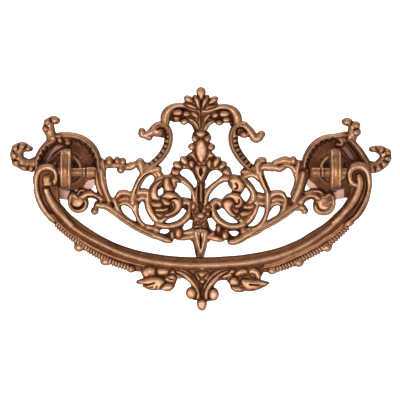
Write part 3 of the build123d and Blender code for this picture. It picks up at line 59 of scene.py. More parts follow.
# drawing tables in drawing units (x right, y down)
# PLATE: strokes (crest height mm, profile, points x y width)
PLATE_STROKES = [
 # ---- left end: low curl
 (2.5,'r',[(35,163.5,13),(29,165,12),(22,163,12.5),(17.5,158.5,12.5),(16.8,153,13),(19,148.5,11.5),(23.5,147,9.5),(28,148.3,6),(30.5,149,3.5)]),
 # top curl
 (2.5,'r',[(56.5,120.5,6),(53,120,8),(49.5,122.5,9.2),(48.5,127,11.3),(49.5,131,11),(50.9,135,9.6),(51.7,139,11)]),
 # rim outer left and main rim
 (3.2,'v',[(36.5,168,6.5),(37,161,7),(40,154,7.5),(44,148,7.5),(48.5,143.5,7.5),(53,141,6)]),
 (3.6,'v',[(56,136,6.5),(61,135.6,7),(66,135.4,7.2),(72,135.9,7),(78,137.2,7.2),(84,140.2,7.8),(89.4,144.4,8),(93.6,149.7,8),(96.6,156.2,7.7),(98,163,6.8),(98.6,170,5.9)]),
 (2.6,'r',[(66,138,3),(67.5,141,4)]),
 # side strands
 (3.3,'r',[(101,171,7.5),(101.8,178,8),(103.5,186,7.5),(106,193,6.5),(108.8,200,6)]),
 (2.2,'r',[(97.3,170,4.5),(96.8,178,5),(98.3,186,5.8),(101.2,193,5.4),(104.5,199,5)]),
 # inner ridge left of disc
 (1.9,'r',[(51,161,1.6),(54,156,1.6),(60,151,1.6),(64,149.3,1.6)]),
 # medallion curl
 (2.9,'r',[(101,199,6.6),(97,196.4,6.6),(91.5,194,8.2),(86,194.2,8.2),(81.5,196.5,7)]),
 (2.2,'r',[(84,190,3),(80,190.5,3),(77.8,193.5,3),(78,197.5,3)]),
 (3.2,'r',[(71,195,5),(69.5,200,4.5),(71,206,5),(75,209.8,5.5),(80,210,5.5),(84.3,207.5,5.5),(85.8,203,4.2),(84.5,199.5,4)]),
 (2.6,'r',[(71.5,200.5,3),(74,204,4),(78,204.8,4),(82,203,3)]),
 (2.9,'r',[(72,193.5,5),(75,196.5,6),(77,198,4)]),
 # bud, lower sweep
 (2.7,'r',[(108,205,6),(103,205,7),(98,204.5,7.5),(96,206.5,5.5)]),
 (3.2,'r',[(97,204.6,6),(103,205.6,6.8),(108,207.2,7.4),(113,210.7,7.4),(118,214.4,7.2),(123,218.2,7.4),(129,222.2,7.6),(135,226,7.6),(141,229.3,7.4),(147,232.2,7.2),(153,235.1,7.2),(159,237.1,6.7),(165,239.5,6.9),(170,240.8,5.6)]),
 (2.8,'r',[(114,199,5),(115.7,204,5.5),(118,209.5,5.5),(121.5,214.5,5)]),
 # leaf sprays above sweep
 (2.8,'r',[(117,196,6),(119.5,193,6.5),(123,192.3,6),(128,193,6),(132,195,5)]),
 (2.4,'r',[(119.5,200,3),(124,198.5,4),(128,199,4),(132,202,4)]),
 (2.6,'r',[(120.5,204,4),(125,202.8,4.5),(129.5,204.5,5),(133,209,5.5)]),
 (2.6,'r',[(135.5,205,7),(135.3,211,6.5),(136.8,216,5),(139.5,220.5,6),(143.5,225,5)]),
 (3.1,'r',[(132.5,203,7),(132.5,198,8),(134.1,191,8.8),(136.8,184.6,8.8),(140,178.9,8.6),(144,174.2,8.2),(149.2,171,8.2),(155,169.2,7.4),(159,168.5,5.5)]),
 (2.7,'r',[(139,192.3,6.6),(143,191.7,7.2),(148,192.4,6.8)]),
 (2.7,'r',[(138.5,199,5),(142,197.5,5.5),(146,198.5,5)]),
 (2.6,'r',[(152,172,5),(156,174.5,6),(159,178,5.5)]),
 # junction mass left
 (2.9,'r',[(158,172,7),(160,176,7),(158,179,7)]),
 (3.0,'r',[(158,179,7),(165,178.2,7),(172,178,7.5),(179,178.5,6.5)]),
 (3.0,'r',[(179,178.9,6.8),(184.8,182.2,7.2),(189.7,187.2,7),(193,193,6.4),(194.5,199,6),(196,205,6)]),
 (2.7,'r',[(167.5,180,6),(168,185,7.5),(168.5,189.5,6)]),
 (2.6,'r',[(173.5,179,5),(173.3,184,5),(173.8,188.5,3.5)]),
 (3.1,'r',[(163,178.5,7.4),(158.2,182,8.4),(154.4,187,9.2),(153.2,193,9.2),(155,198,7.4),(159.5,199.5,5)]),
 (2.7,'r',[(148,195,5.6),(147.5,201,6.8),(148.3,207,7),(150.9,213,7),(155,218.8,7),(160,221,6.6),(164.8,217.8,6.4),(167.5,215.3,5.6)]),
 (3.3,'r',[(163,200,5),(164,196,6),(168.5,193.8,6.5),(173.5,194.5,6.5),(177.5,198,6.5),(179,203,6.5),(177.5,208.5,7.6),(173.3,213,7.6),(167.5,215.6,7)]),
 (2.6,'r',[(171.5,202,4),(174.5,205,4.5),(174,209,4),(170,212,3.5),(164.5,213.5,3)]),
 (3.0,'r',[(162,198,5),(165,201.5,6),(168.5,203,4)]),
 (2.4,'r',[(152,202,3),(156,203,5),(160.5,204,4.5)]),
 (2.2,'r',[(156,209,3),(161,210,4.5),(166,209,4)]),
 (3.2,'r',[(157,224.2,6.4),(163,225.8,6.2),(170,226,6.2),(177,224.4,6.6),(183.2,220.8,7.2),(188.6,214.8,7.8),(191,208,7.4),(190,203,6.4),(187,200.9,6.2),(184,202.6,6)]),
 (2.6,'r',[(147,227,5),(152,228,5.5)]),
 (2.6,'r',[(155,229,6),(158,230.5,5)]),
 (2.6,'r',[(171,233,6),(172.5,237,6)]),
 (2.9,'r',[(177.5,232,8),(178.5,236,7)]),
 (2.4,'r',[(178,238.5,4),(184,238.3,4.5),(190,237,5),(195,236,6)]),
 (2.4,'r',[(184,233,4),(189,232.5,5),(193,231.5,6)]),
 # great S arm left
 (2.7,'r',[(147,167.2,7),(150.3,165.5,6.6),(155.4,161.8,7.6),(160.4,157.1,8.1),(164.8,150.8,8.2),(167.6,144.2,8.2),(168.4,138,8.1),(167.7,132,7.8),(165.2,127.8,7.6),(161,125.6,7.6),(157,126.2,7.4)]),
 (3.5,'v',[(147,168.5,3),(151.5,166.8,4),(157,162.8,5),(162,157.6,5),(166.5,151.1,5),(169.3,144.5,5),(170.4,137.5,4.8),(169.6,131,4.6),(166.5,126.2,4.4),(161.5,123.4,4.2),(156.5,124.2,4),(152.5,127.2,3.2)]),
 (3.0,'r',[(153.5,130.9,9.4),(149.3,133,6.6),(146,134.3,6.4)]),
 (2.9,'r',[(141.8,130.6,6.4),(142.1,134,7.2),(146,135.8,5.6)]),
 # bridge left
 (2.7,'r',[(102.5,161.5,4),(103.3,166,4.5),(104,171,3.5)]),
 (2.2,'r',[(106,165.6,5.2),(112,165,5.6),(118,165,5.2),(124,166.2,5.8)]),
 (2.9,'r',[(127,167.1,6.6),(130.6,166.1,8.2),(134.6,164.3,6.2)]),
 (3.0,'r',[(140,162.4,9),(141.3,167,9),(141.8,172,7.2)]),
 # ---- centre top
 (3.0,'r',[(201,96,6),(201,99,2.5)]),
 (2.6,'r',[(198.5,107.5,3),(197.5,103,5),(196,98.5,5),(194.5,96,3)]),
 (2.6,'r',[(203.5,108,3.5),(205,103,6),(206.5,98.5,6),(207.5,96.5,4)]),
 (2.5,'r',[(193.5,100.5,3),(190.5,99.5,6),(187.2,98.3,6.4),(186,98.2,4.6)]),
 (2.5,'r',[(208,104,2.5),(211,101.5,5.5),(214,99.5,6.8),(216,98.8,5)]),
 (2.3,'r',[(196,107.3,3),(191.5,105.3,4),(185.8,102.9,3.6)]),
 (2.3,'r',[(205,108.7,3),(210,107.3,4),(216.3,104,3.8)]),
 (2.2,'r',[(199.5,108,4),(194,103.5,4),(190.5,100.5,4)]),
 (2.2,'r',[(202.5,108.5,4),(206.5,105.5,4),(211.5,102,4)]),
 (3.0,'r',[(199,110.5,4),(193,108.5,5),(187,106,5),(181,105,5),(175.5,105.7,5.5),(170.5,108,7),(167,112,8.8),(165.3,117,9.8),(165.5,121.5,8.5),(166,125,6)]),
 (3.0,'r',[(203,110.8,4),(209,110.3,5),(215,108.3,5),(221,106.7,5.5),(227,107,6),(232.5,109.5,7.5),(236,114,8.8),(237.5,119,9),(237.5,124,8)]),
 (2.5,'r',[(191.5,112.5,4.5),(195,114.5,6),(198.5,117.5,3.5)]),
 (2.9,'r',[(188,118.5,4),(193,119.3,5.5),(197,123.5,6),(199.5,129,5.5)]),
 (2.5,'r',[(210.5,113,4.5),(206,115.5,5.5),(203.8,120,4.5),(202.8,126,3.5)]),
 (2.9,'r',[(214,120.3,3),(209.5,120.8,4.5),(206,124,5.5),(204,129.5,5)]),
 # central fan
 (2.9,'r',[(187.3,165,4),(184.7,161,6),(182.3,158.5,5)]),
 (2.7,'r',[(181,164.5,4),(177,163.2,4.5),(174.8,163.5,3.5)]),
 (2.6,'r',[(179,169.5,4),(176,167.3,4.5)]),
 (2.6,'r',[(177,172,5),(174,171.5,4.5)]),
 (2.3,'r',[(188,166.5,7),(181,167,7),(176,171,7),(173,175,7)]),
 (2.9,'r',[(213.5,166.5,4),(216.3,162.3,6),(218.8,159,5)]),
 (2.7,'r',[(219,166.3,3.5),(222.5,164.3,5),(225,163.5,4)]),
 (2.6,'r',[(222,169.3,4),(226.5,169,5)]),
 (2.6,'r',[(224,172.5,4),(228,173.5,5)]),
 (2.3,'r',[(212,166.5,7),(219,167.5,7),(225,171.5,7),(229,176,7)]),
 # drop and shaft
 (3.1,'r',[(197.3,166,4),(198,171,4),(200,176.5,3.5)]),
 (3.1,'r',[(204.6,166.5,4),(204.2,171,4),(202.3,176.5,3.5)]),
 (2.6,'r',[(201,178,7.5),(201,184,8.8),(201,190,11.3),(200.8,197,12.5),(200.8,204,14),(200.8,212,14.5),(200.3,220,14.4),(200.2,228,14.2),(200.3,234,14)]),
 (3.5,'v',[(201,178,3),(201,184,3.2),(201,192,3.4),(201,203,3)]),
 (3.0,'v',[(196.8,186,2.4),(196.4,196,2.6),(196.4,203,2)]),
 (3.0,'v',[(205.3,186,2.4),(205.6,196,2.6),(205.6,203,2)]),
 (3.0,'r',[(200.5,218,4),(200.6,224,4.5),(200.6,231,4)]),
 (2.8,'r',[(196,232,6),(197,238,6.5),(198.5,244,6),(200,250,5),(200.5,256,5),(200.5,262,4)]),
 (2.8,'r',[(205.5,232,6),(204.8,238,6),(203.5,244,5.5),(202,250,5),(201,256,5),(200.8,262,4)]),
 # ---- right end: low curl
 (2.5,'r',[(371.5,149,4.5),(376,148.8,6.4),(381,150.3,8.8),(385.2,154,11),(385.2,159,11.4),(381.2,163.8,11.2),(376,167,11),(371,166.8,11.5)]),
 (2.5,'r',[(348.5,135.5,3.5),(351.5,137.5,5),(354.5,139,4.5)]),
 (2.4,'r',[(342,138,3),(345.3,140,4.5)]),
 (2.5,'r',[(348,123,4.6),(352,125,7.4),(353.8,129,11),(352.7,133.5,11),(349.8,137,9.6)]),
 (3.2,'v',[(351,140.2,6),(355.1,145.1,6.6),(359.3,150.4,7.2),(363,156.2,7.4),(366.4,161.8,7.4),(368,167,6.4)]),
 (3.6,'v',[(345,134.4,6.2),(337,136,5.7),(330,136.9,6),(323,138.8,6.4),(317.2,142.3,6.9),(312.2,147.2,7.2),(308.4,153.2,7),(305.8,159,6.5),(304.5,166,5.5)]),
 (2.7,'r',[(333,137,3),(339,138,3.5),(342,141.5,3.5),(341,144.5,3),(337,144,3)]),
 (3.3,'r',[(303.5,173,6),(302,180,8),(299.9,187,8),(297,194,7.6),(294.2,200,7.5)]),
 (2.3,'r',[(295.5,170,5),(297,176,5),(297,182,5),(295.5,188,5),(293,194,5)]),
 (2.2,'r',[(306.8,171,4.5),(306,178,4),(303.8,186,4),(301,194,4.5),(298.5,201,5)]),
 (1.9,'r',[(333,190,1.6),(338,187,1.6),(343,182,1.6)]),
 # medallion curl right
 (2.9,'r',[(301,201.6,7.4),(304.8,198.3,7.2),(309.7,195.5,7.8),(315,195.8,7.8),(319,198,6.4)]),
 (2.4,'r',[(306,192.5,4),(312,191,4),(318,191,4),(322,192.5,4)]),
 (3.2,'r',[(315.5,205.5,5),(317.5,210,6),(322,212.3,6),(328,211.8,6),(332.2,207.6,5.6),(333.7,202,4.4),(332.8,196,4.4)]),
 (2.8,'r',[(323,204.3,3),(327,204,4),(330.5,201.5,4)]),
 (2.8,'r',[(323,197,3),(326.5,196.3,4),(330,194,4)]),
 (2.7,'r',[(290,208,6.6),(296,207.2,7),(301,207,7.8),(303.7,208,6)]),
 (3.2,'r',[(297,205.4,6.8),(292,208.8,7.2),(286.5,212.9,7.6),(281,216.9,7.2),(275,220.6,7.3),(269,223.9,7.3),(263,227,7.3),(257,230.5,8.2),(251,233.2,8.2),(245,236.2,8.2),(239.5,239.8,7.7),(234,242,6.6),(230.5,242,6)]),
 (2.8,'r',[(285.8,199,5),(285.3,204,5.5),(284,209,5.5),(281,214,5)]),
 (2.8,'r',[(285,197,3.5),(283.3,194.6,5.5),(279.5,192.8,5.5),(274,193.5,6),(271,196,5)]),
 (2.4,'r',[(283,200,3),(278,199,4),(273,200,4)]),
 (2.6,'r',[(281,204,4),(276.5,203,4.5),(272,205,5),(269,209.5,5),(267.5,215,5)]),
 (3.1,'r',[(260.3,172,7),(261.6,178,7.6),(264.7,185,7.2),(267.5,191.5,6.7),(268,198,7.4),(267.7,204,6.8),(267,212,4.8),(264.3,220.2,5.6),(259.2,226.3,5.4),(253,229,4.5)]),
 (2.6,'r',[(243,177.8,5.4),(247,175.3,6.2),(252,174.3,5.8),(256,175.8,5.8),(259,178.7,5.4)]),
 (2.3,'r',[(243,171.5,4.5),(248,171.3,4),(252,171,3)]),
 (2.7,'r',[(252,168.2,6.8),(247.3,164.4,7.8),(242.6,159.1,8.6),(238.1,152.9,8.8),(234.9,146.2,8.9),(233.6,139.5,9),(234.2,133,9),(236.6,128.5,8.2),(240.5,126,8),(245,126,7.5)]),
 (3.5,'v',[(251,170.5,3),(246.5,166,4.5),(241.3,160.7,5.4),(236.6,154,5.4),(232.8,147,5.4),(231,139.5,5.2),(231.6,132,5),(234.5,126.3,4.6),(239.5,123.4,4.4),(245,123.4,4.2)]),
 (3.0,'r',[(245,126.2,7.4),(248.8,129.3,7.4),(251.8,133.4,7.8),(254.6,137.9,8.4),(258,137.9,8.6),(261.5,134.1,7.5)]),
 (3.0,'r',[(258,172,6),(257.5,165,7),(260,160.7,7),(264,159.8,5.5)]),
 (2.6,'r',[(260.5,170,5.4),(263,167,6.8),(268,166.5,8.8),(273,167,8.8)]),
 (2.6,'r',[(276,167.4,7),(279.5,168.6,7),(283.3,166.9,6.6)]),
 (2.7,'r',[(275,162.5,5.5),(280,161,6.5),(285.5,159.8,7.5),(290,161,6)]),
 (2.5,'r',[(285,164.6,4.6),(290.8,166,5.4),(294.6,169.4,6.2),(296.6,175,6)]),
 (2.7,'r',[(299,162,5),(298,167,5.5),(297,173,4.5)]),
 (2.7,'r',[(262,196.5,6.5),(258,195.5,6.5),(255,196,6)]),
 (2.7,'r',[(263,203.3,5),(259,202.5,5.5),(255,203.5,5)]),
 (3.0,'r',[(222,178.5,6),(229,178.3,7.5),(236,178.5,8),(242,180,7)]),
 (3.0,'r',[(222,178.9,7.4),(216.3,181.9,8),(211.4,186.9,7.4),(207.9,192.3,6.4),(206.1,198,5.7),(205,204,6)]),
 (2.7,'r',[(232,181,6),(233,187,6)]),
 (3.1,'r',[(243,180.5,7),(248.5,184.5,7.5),(252.5,190,8),(253,196.5,8),(251,201.5,6.5),(249,203.5,5)]),
 (2.7,'r',[(256.7,200,6.6),(256.7,206,7),(254.9,212,7.2),(251,217.8,7.4),(246,222,7.8),(241,219.9,7),(238.3,217.2,6.4)]),
 (2.4,'r',[(254,205.5,3),(250,206,5),(246,206,4.5)]),
 (2.2,'r',[(250,211.5,3),(245.5,212,4.5),(241.5,212,4)]),
 (3.3,'r',[(242,204,4.5),(240.5,199,5.5),(236,196,6),(230,196.3,6.5),(225.8,200,6.5),(225.3,205,6.5),(227.9,210.7,7),(232.3,214.7,7),(238,216.6,7)]),
 (2.7,'r',[(229,202.5,6.5),(231,207,6),(231.5,211,5)]),
 (2.8,'r',[(234,206,5),(238,206.5,5),(241.5,204,5)]),
 (3.2,'r',[(244,224.2,6.4),(238,226,6.2),(231,226.3,6.2),(225,224.4,6.6),(218.7,220.3,7.4),(214.1,213.8,7.8),(212.3,207,7.2),(213,202.7,6.8),(216,200.9,6.6),(219,202.6,6.4),(220.5,204.5,5.6)]),
 (2.6,'r',[(249,229.5,6),(254,230,6)]),
 (2.6,'r',[(244,231,8),(244,235,7)]),
 (2.9,'r',[(226,233.5,8),(225.5,237,7)]),
 (2.4,'r',[(219,238.5,4),(213,237.5,4)]),
 (2.4,'r',[(222,240,4),(216,239.5,4.5),(210,237.5,5),(206,237,6)]),
 (2.4,'r',[(213,233.5,4),(209.5,236,4),(206.5,239,4)]),
]
# domes: (height mm, cx, cy, rx, ry, tilt deg)
PLATE_DOMES = [
 (2.9,28,148.3,4.2,2.6,0),(3.0,22.3,146,4.3,3.8,0),(3.0,15.8,148,4.2,4,0),(3.1,14.3,155,4.2,4.5,0),(3.0,16.3,162.5,4.5,3.8,0),(3.0,24,167,4.3,3.6,0),(2.9,31.3,168,3.2,4,0),
 (2.9,54.8,119.8,5,3.8,15),(3.0,47.3,122,3.6,3.4,0),(3.0,46,128.7,3.9,3.6,0),(2.8,52.5,138,5.2,3,20),(2.8,59.8,140,4.2,2.4,40),
 (3.2,68,142.5,3.3,3.3,0),
 (2.6,78,202.5,10.2,10,0),(2.9,94.4,211.1,3.9,3.8,0),
 (3.4,157,130,7.5,6.5,0),(3.7,160.5,132.5,2.9,2.9,0),(3.1,148.8,136.5,3.9,3.9,0),
 (2.9,109,161.3,4.2,5.3,0),(2.7,117,160.7,3.2,4.2,0),(2.8,122.7,161.5,3.3,4,0),(2.7,120.8,169.1,4,4.4,0),
 (3.2,201,91.7,4.7,4.9,0),
 (2.8,178,111.3,5,3.3,0),(2.6,177,116.8,4.2,3,0),(2.7,186.5,113,3.9,2.6,0),(2.9,184,121.3,3.9,3.3,0),
 (2.8,224,113.8,5,2.6,0),(2.6,226,119.5,3.9,3,0),(2.7,215.5,115,3.9,2.4,0),(2.9,219.5,122,3.9,3.3,0),
 (3.6,201,133,4.3,2.6,0),(3.3,195,138,3.1,3.1,0),(3.3,208,138,3.2,3.2,0),(3.3,191.6,146.3,3.2,3.2,0),(3.3,211.5,146.8,3.6,3.6,0),
 (4.4,201.2,150.5,5.8,12.3,0),(2.9,190.8,155.8,3,2.4,0),(2.9,211.5,155.5,3.3,2.6,0),
 (3.0,191.6,163.5,2.4,4,0),(3.0,209,165,2.7,4.3,0),
 (3.1,195.8,206.3,1.8,1.8,0),(3.1,195.8,211.5,1.8,1.8,0),(3.1,206.5,207,3,1.8,0),(3.1,207,212.5,2.5,1.6,0),(3.4,200.5,215.3,3.6,3,0),(3.1,197,224.3,2.5,1.6,0),(3.1,205,224.5,2.3,1.8,0),
 (2.9,374,149,4.2,2.7,0),(3.0,381.3,149.6,3.6,4,0),(3.0,387.8,152.2,3.5,3.8,0),(3.1,387.2,158,4.4,3.4,0),(3.0,384,163.8,4.2,3.4,0),(3.0,378.2,167.5,3.9,3.9,0),(2.9,372.2,168.7,3.4,4.2,0),
 (2.9,347.2,121.6,5.3,3.9,0),(3.0,356,125.1,4.5,4,0),(3.0,356.2,132,4.9,4.2,0),
 (2.6,324.6,203.3,10.9,11,0),(2.9,304.9,210.8,3.6,3.5,0),
 (3.4,244.5,134.3,5,3.4,0),(2.7,293.5,160.5,3.5,4.5,0),(2.8,239.5,187,4.3,5,0),
]
# webs: (height mm, polygon)
PLATE_WEBS = [
 (1.3,[(197.5,97),(204.5,97),(205.5,103),(204.5,110),(197.5,110),(196.5,103)]),
 (1.2,[(172,108),(182,106.5),(194,109.5),(200,111),(200,116),(186,114),(172,114)]),
 (1.2,[(232,110),(221,107.5),(209,110.5),(201,111),(201,116),(216,115),(232,121)]),
 (1.2,[(229,110),(235,112),(235,122),(231,126),(229,120)]),
 (1.2,[(238,128),(243,126.5),(248,129),(247,134),(241,136),(238,133)]),
 (1.2,[(165,125),(167,132),(166,137),(158,136),(156,128)]),
 (1.2,[(240.5,172),(243.5,168),(249,165),(256,168),(256,174),(246,176),(241.5,175)]),
 (1.2,[(302,163),(306,165),(306,173),(299,180),(297,175),(300,168)]),
 (1.2,[(100,158),(104,160),(106,168),(105,176),(100,176),(98,166)]),
 (1.2,[(192,203),(209.5,203),(210.5,218),(209.5,234),(192,234),(191,218)]),
 (1.2,[(118,192),(130,191),(134,198),(133,207),(122,204),(116,200)]),
 (1.2,[(284,192),(272,191),(267,198),(268,207),(279,204),(286,200)]),
 (1.2,[(152,228),(160,223),(170,224),(178,222),(186,229),(182,234),(172,231),(158,232)]),
 (1.2,[(246,228),(240,224),(230,224),(220,221),(214,229),(220,234),(228,231),(240,232)]),
 (1.2,[(188,199),(193,203),(192,212),(188,208)]),
 (1.1,[(172,112),(200,110),(200,132),(194.6,131),(191,124.5),(184,121.5),(171.5,121)]),
 (1.1,[(230,112),(201,110),(201,132),(206.4,131),(210.5,124.8),(218,121.6),(229,122)]),
 (1.3,[(194.8,131),(192,136),(191.8,139.5),(193.5,142),(188,146.5),(192.5,150.5),(189,153),(187,155.5),(181,157),(179.3,161.5),(175,161.5),(173,163),(173.3,166.5),(171.5,168),(171.3,172),(172,178),(201,180),(230,178),(231.8,173.5),(231,170),(229.5,167),(226.8,165.5),(224,161),(220.8,160.5),(220,158),(214,155),(211.5,151),(214.5,149),(215,146),(210,142),(211,137),(207,131)]),
 (1.2,[(143,163),(149,163),(152,167),(148,172),(144,171)]),
 (1.2,[(190,239.5),(192.5,242),(194,247),(195.8,256),(198,262),(203,262),(204.3,256),(206.5,248),(207.5,243),(210,240.5),(206,232),(195,232)]),
 (1.2,[(176,228),(192,228),(196,236),(186,240),(176,238)]),
 (1.2,[(225,229),(210,228),(205,236),(214,240),(226,239)]),
 (1.2,[(150,200),(158,196),(176,196),(180,206),(172,214),(160,221),(152,214)]),
 (1.2,[(254,202),(247,198),(228,197),(223,206),(232,215),(244,221),(252,215)]),
 (1.2,[(108,198),(114,197),(120,203),(120,212),(112,209),(107,204)]),
 (1.2,[(293,200),(288,197),(281,202),(281,212),(289,209),(296,205)]),
 (1.2,[(142,226),(150,230),(160,230.5),(168,234),(174,238),(166,240),(152,235)]),
 (1.2,[(258,227),(250,230),(240,232),(232,234),(228,238),(236,241),(250,235)]),
 (1.2,[(134,195),(141,190),(142,200),(136,206)]),
 (1.2,[(266,193),(259,191),(258,203),(264,207)]),
 (1.2,[(157.5,168),(161,174.6),(168,176.4),(158,180),(152,172)]),
 (1.2,[(141,196),(147,190),(151,193),(150,202),(143,202)]),
 (1.2,[(259,194),(252,192),(250,198),(251,204),(259,206)]),
 (1.2,[(228,183),(230,188),(232,193),(240,195),(245,188),(243,181),(232,180)]),
 (1.2,[(176,182),(176,189),(171,193),(164,195),(160,190),(160,182)]),
 (1.2,[(180,198),(188,199),(188.5,208),(185,209.8),(182,207.5)]),
 (1.2,[(225,200),(216,200),(215,208),(218.8,209.8),(222.3,207.5)]),
]
# low disc of the medallions and their windows
DISC_L = [(66.5,138),(76,138.5),(86,144),(93,154),(95.5,164),(95,170),(93,179),(88,180),(85,183),(82,187.5),(78,189),(70,190.5),(66,190.5),(60,187.5),(58.5,187.5),(59.5,199),(50,200),(45,190),(40,172),(40,160),(44,150),(52,142),(58,138)]
DISC_R = [(335,138),(325,139.5),(316,145),(310,153),(307.5,163),(307.5,172),(309.5,179.3),(317.3,186.7),(321,190),(329,192),(334.5,192.3),(340,189.5),(344.5,189),(345,197),(352,196),(357,185),(362,172),(361,160),(355,150),(350,143),(344,138)]
PLATE_HOLES = [
 # medallion windows
 [(44,163),(47,156),(52,149),(56,145.5),(61,144.6),(63.5,145.5),(60,149),(53,153.5),(50,160),(47,163.5)],
 [(92.5,178.8),(82.5,187.2),(90,189),(96.4,193.2),(95,186),(93.7,180)],
 [(59,187.5),(66,190.5),(68,190.6),(69,194),(67.5,198),(67,207),(59.5,207),(59,197)],
 [(344.5,145.8),(342,148.2),(346,153.5),(350,159.3),(355.2,160.2),(352,153.5),(347.5,147.3)],
 [(309.5,179.3),(317.3,186.7),(312,188.3),(305.5,191.2),(306.5,186),(308.3,180.5)],
 [(334.5,192.3),(340,189.5),(344.5,189),(345,197),(344,207),(338,207),(336,199),(335,195)],
 # left side
 [(105.8,172),(106,180),(107.5,188),(109.5,194),(112,198),(114.5,196.5),(116.5,193),(119,190.5),(123,189.7),(127,190.3),(130.5,191.5),(133,187),(136,180),(139.5,174),(139,171.5),(137.2,169.3),(135,169),(133.5,170),(130,171.6),(127,170.8),(125.2,171.5),(123.7,174),(119.5,174.6),(117,172.3),(116.6,168.8),(111,169.2),(107.3,171.2)],
 [(122.5,209.3),(126.3,207.3),(130,208),(132,211),(136,219),(134,221),(130.5,219.5),(126,216),(122.5,212.5)],
 [(141.2,204.6),(143.8,204.3),(144.2,207.5),(145.3,212),(147.6,217),(151.6,223.4),(149,223.8),(145,224),(140.5,219),(138.3,211),(139,206.5)],
 [(142.2,186.2),(141.8,184.5),(143.4,181.4),(145.8,178.8),(148.2,177.3),(150.8,176.9),(153.2,177.5),(154.4,179.3),(151.8,183.8),(149.4,186),(145,185.8)],
 [(161.2,187),(162.8,188.2),(163.4,191),(162.8,193.8),(161.2,194.8),(160,193.8),(159.4,191.5),(160,188.6)],
 [(175.5,189),(178,183.5),(180.5,182.8),(183.5,183.8),(187.5,187),(190,190),(191.3,193.5),(190.8,195.6),(186,196),(182.8,197),(179.3,194),(175,190.5)],
 [(179.8,173),(181,170.5),(184,168.7),(188,169),(191,170.5),(193.5,174),(196.7,182),(196,187.5),(193.5,185),(186,178.5),(182,175.8)],
 [(183.2,207.8),(184.4,209.5),(184.2,212),(182.6,215.3),(180.2,218.3),(176.5,220.8),(172,222),(169.8,221.8),(169.3,220.6),(170.8,218.6),(175.5,216),(179,213),(181.6,209)],
 [(191.6,219.2),(192.6,220.5),(192.3,225),(191.8,228),(187,230),(184,230.6),(182.4,227.2),(188,223.3),(190.6,220.3)],
 [(159,232.5),(160.8,229.5),(164,229),(168,229.3),(169.5,230.8),(166,234.2),(160,233.3)],
 # right side
 [(267.3,219.6),(268.6,215),(270.5,210.8),(272.8,208),(275.6,207),(278.6,209.4),(276.3,213.2),(273,217.5),(267.5,221)],
 [(251.2,224.6),(252.9,222.2),(255,218),(257.5,212.5),(258.8,208),(260,206.2),(263.8,208.5),(264,212.5),(263,216.5),(260,221),(256.3,224.8),(253.2,225.6)],
 [(249.6,180.6),(251.2,178.9),(254,179),(257.5,181),(260.5,184.5),(264.8,193),(258.5,191.8),(256.5,190.5),(254,186.5),(251,182.5)],
 [(245.3,187.7),(249.8,192.5),(249.8,196.5),(246,202),(242,197.5),(240.7,195),(244,190)],
 [(209.3,198),(211.5,193.7),(215.5,189),(219.8,185.7),(224,184.4),(227.5,184.6),(229.8,187),(232,191.5),(225.5,194.5),(222,198.8),(219,197.8),(215,197.8),(210.3,199.8)],
 [(205.5,185),(206,180),(208,175),(210.5,171.5),(214.5,170),(219,170.5),(222.5,174.5),(220.5,176.8),(211.5,184),(205.5,189)],
 [(219,210),(221.6,208),(224.4,209.6),(227,212.7),(230.5,216.2),(234.2,218.4),(233.8,220.6),(232,221.6),(226,218.9),(221.5,214.3)],
 [(207.3,219.8),(208.6,217.9),(210,218.2),(212.8,222),(215.2,225.3),(215.8,227.5),(214.8,231),(212,230.5),(209.5,227.5),(208.2,223)],
 [(228.8,232),(230.5,231),(237,231),(239,233.5),(236,236.3),(232.5,236.3)],
]
# BAIL ---------------------------------------------------------------
# inner and outer edges of the bar (flat moulded band)
BAIL_BAR = [(58.5,186),(58.3,200.5),(61.5,205),(69.3,214),(75.4,219.1),(81.5,224),(87.6,228.3),(93.8,232.2),(102.8,238),(108.8,241),(114.8,243.9),(121,246.4),(128,248.8),(135,250.7),(142,252.4),(150,253.9),(158,255.2),(166,256.4),(175,257.2),(185,257.8),(200,258.1),(215,257.8),(225,257.1),(235,256.5),(247,255),(260,252.8),(270,250.7),(280,247.9),(290,244),(300,239.5),(308,234.4),(316,229.5),(325,224.1),(332,218.8),(340,211.6),(345,206.3),(350,197),(352,186),
 (370.6,186),(370.9,190),(369.7,198.2),(366.7,206.3),(362.6,213.5),(357.4,219.4),(351.5,222.7),(346.5,226.8),(336.4,236.8),(331.6,241.2),(323,248.5),(318,251.5),(310,256),(304,259),(294,263.5),(284,267.3),(278,269),(268,272),(263,272.4),(250,272),(235,272),(220,271),(200,271),(185,271),(170,270),(155,271),(141,271.8),(135,271.4),(127,269.2),(122,267.3),(116,265.3),(110,262.7),(99,257),(92,253.5),(85,249),(74,241),(68,236),(61.7,230.8),(54.5,224.4),(49,220),(44.5,215),(40.6,210),(37.6,204.3),(35.2,198),(34.2,192),(34,186)]
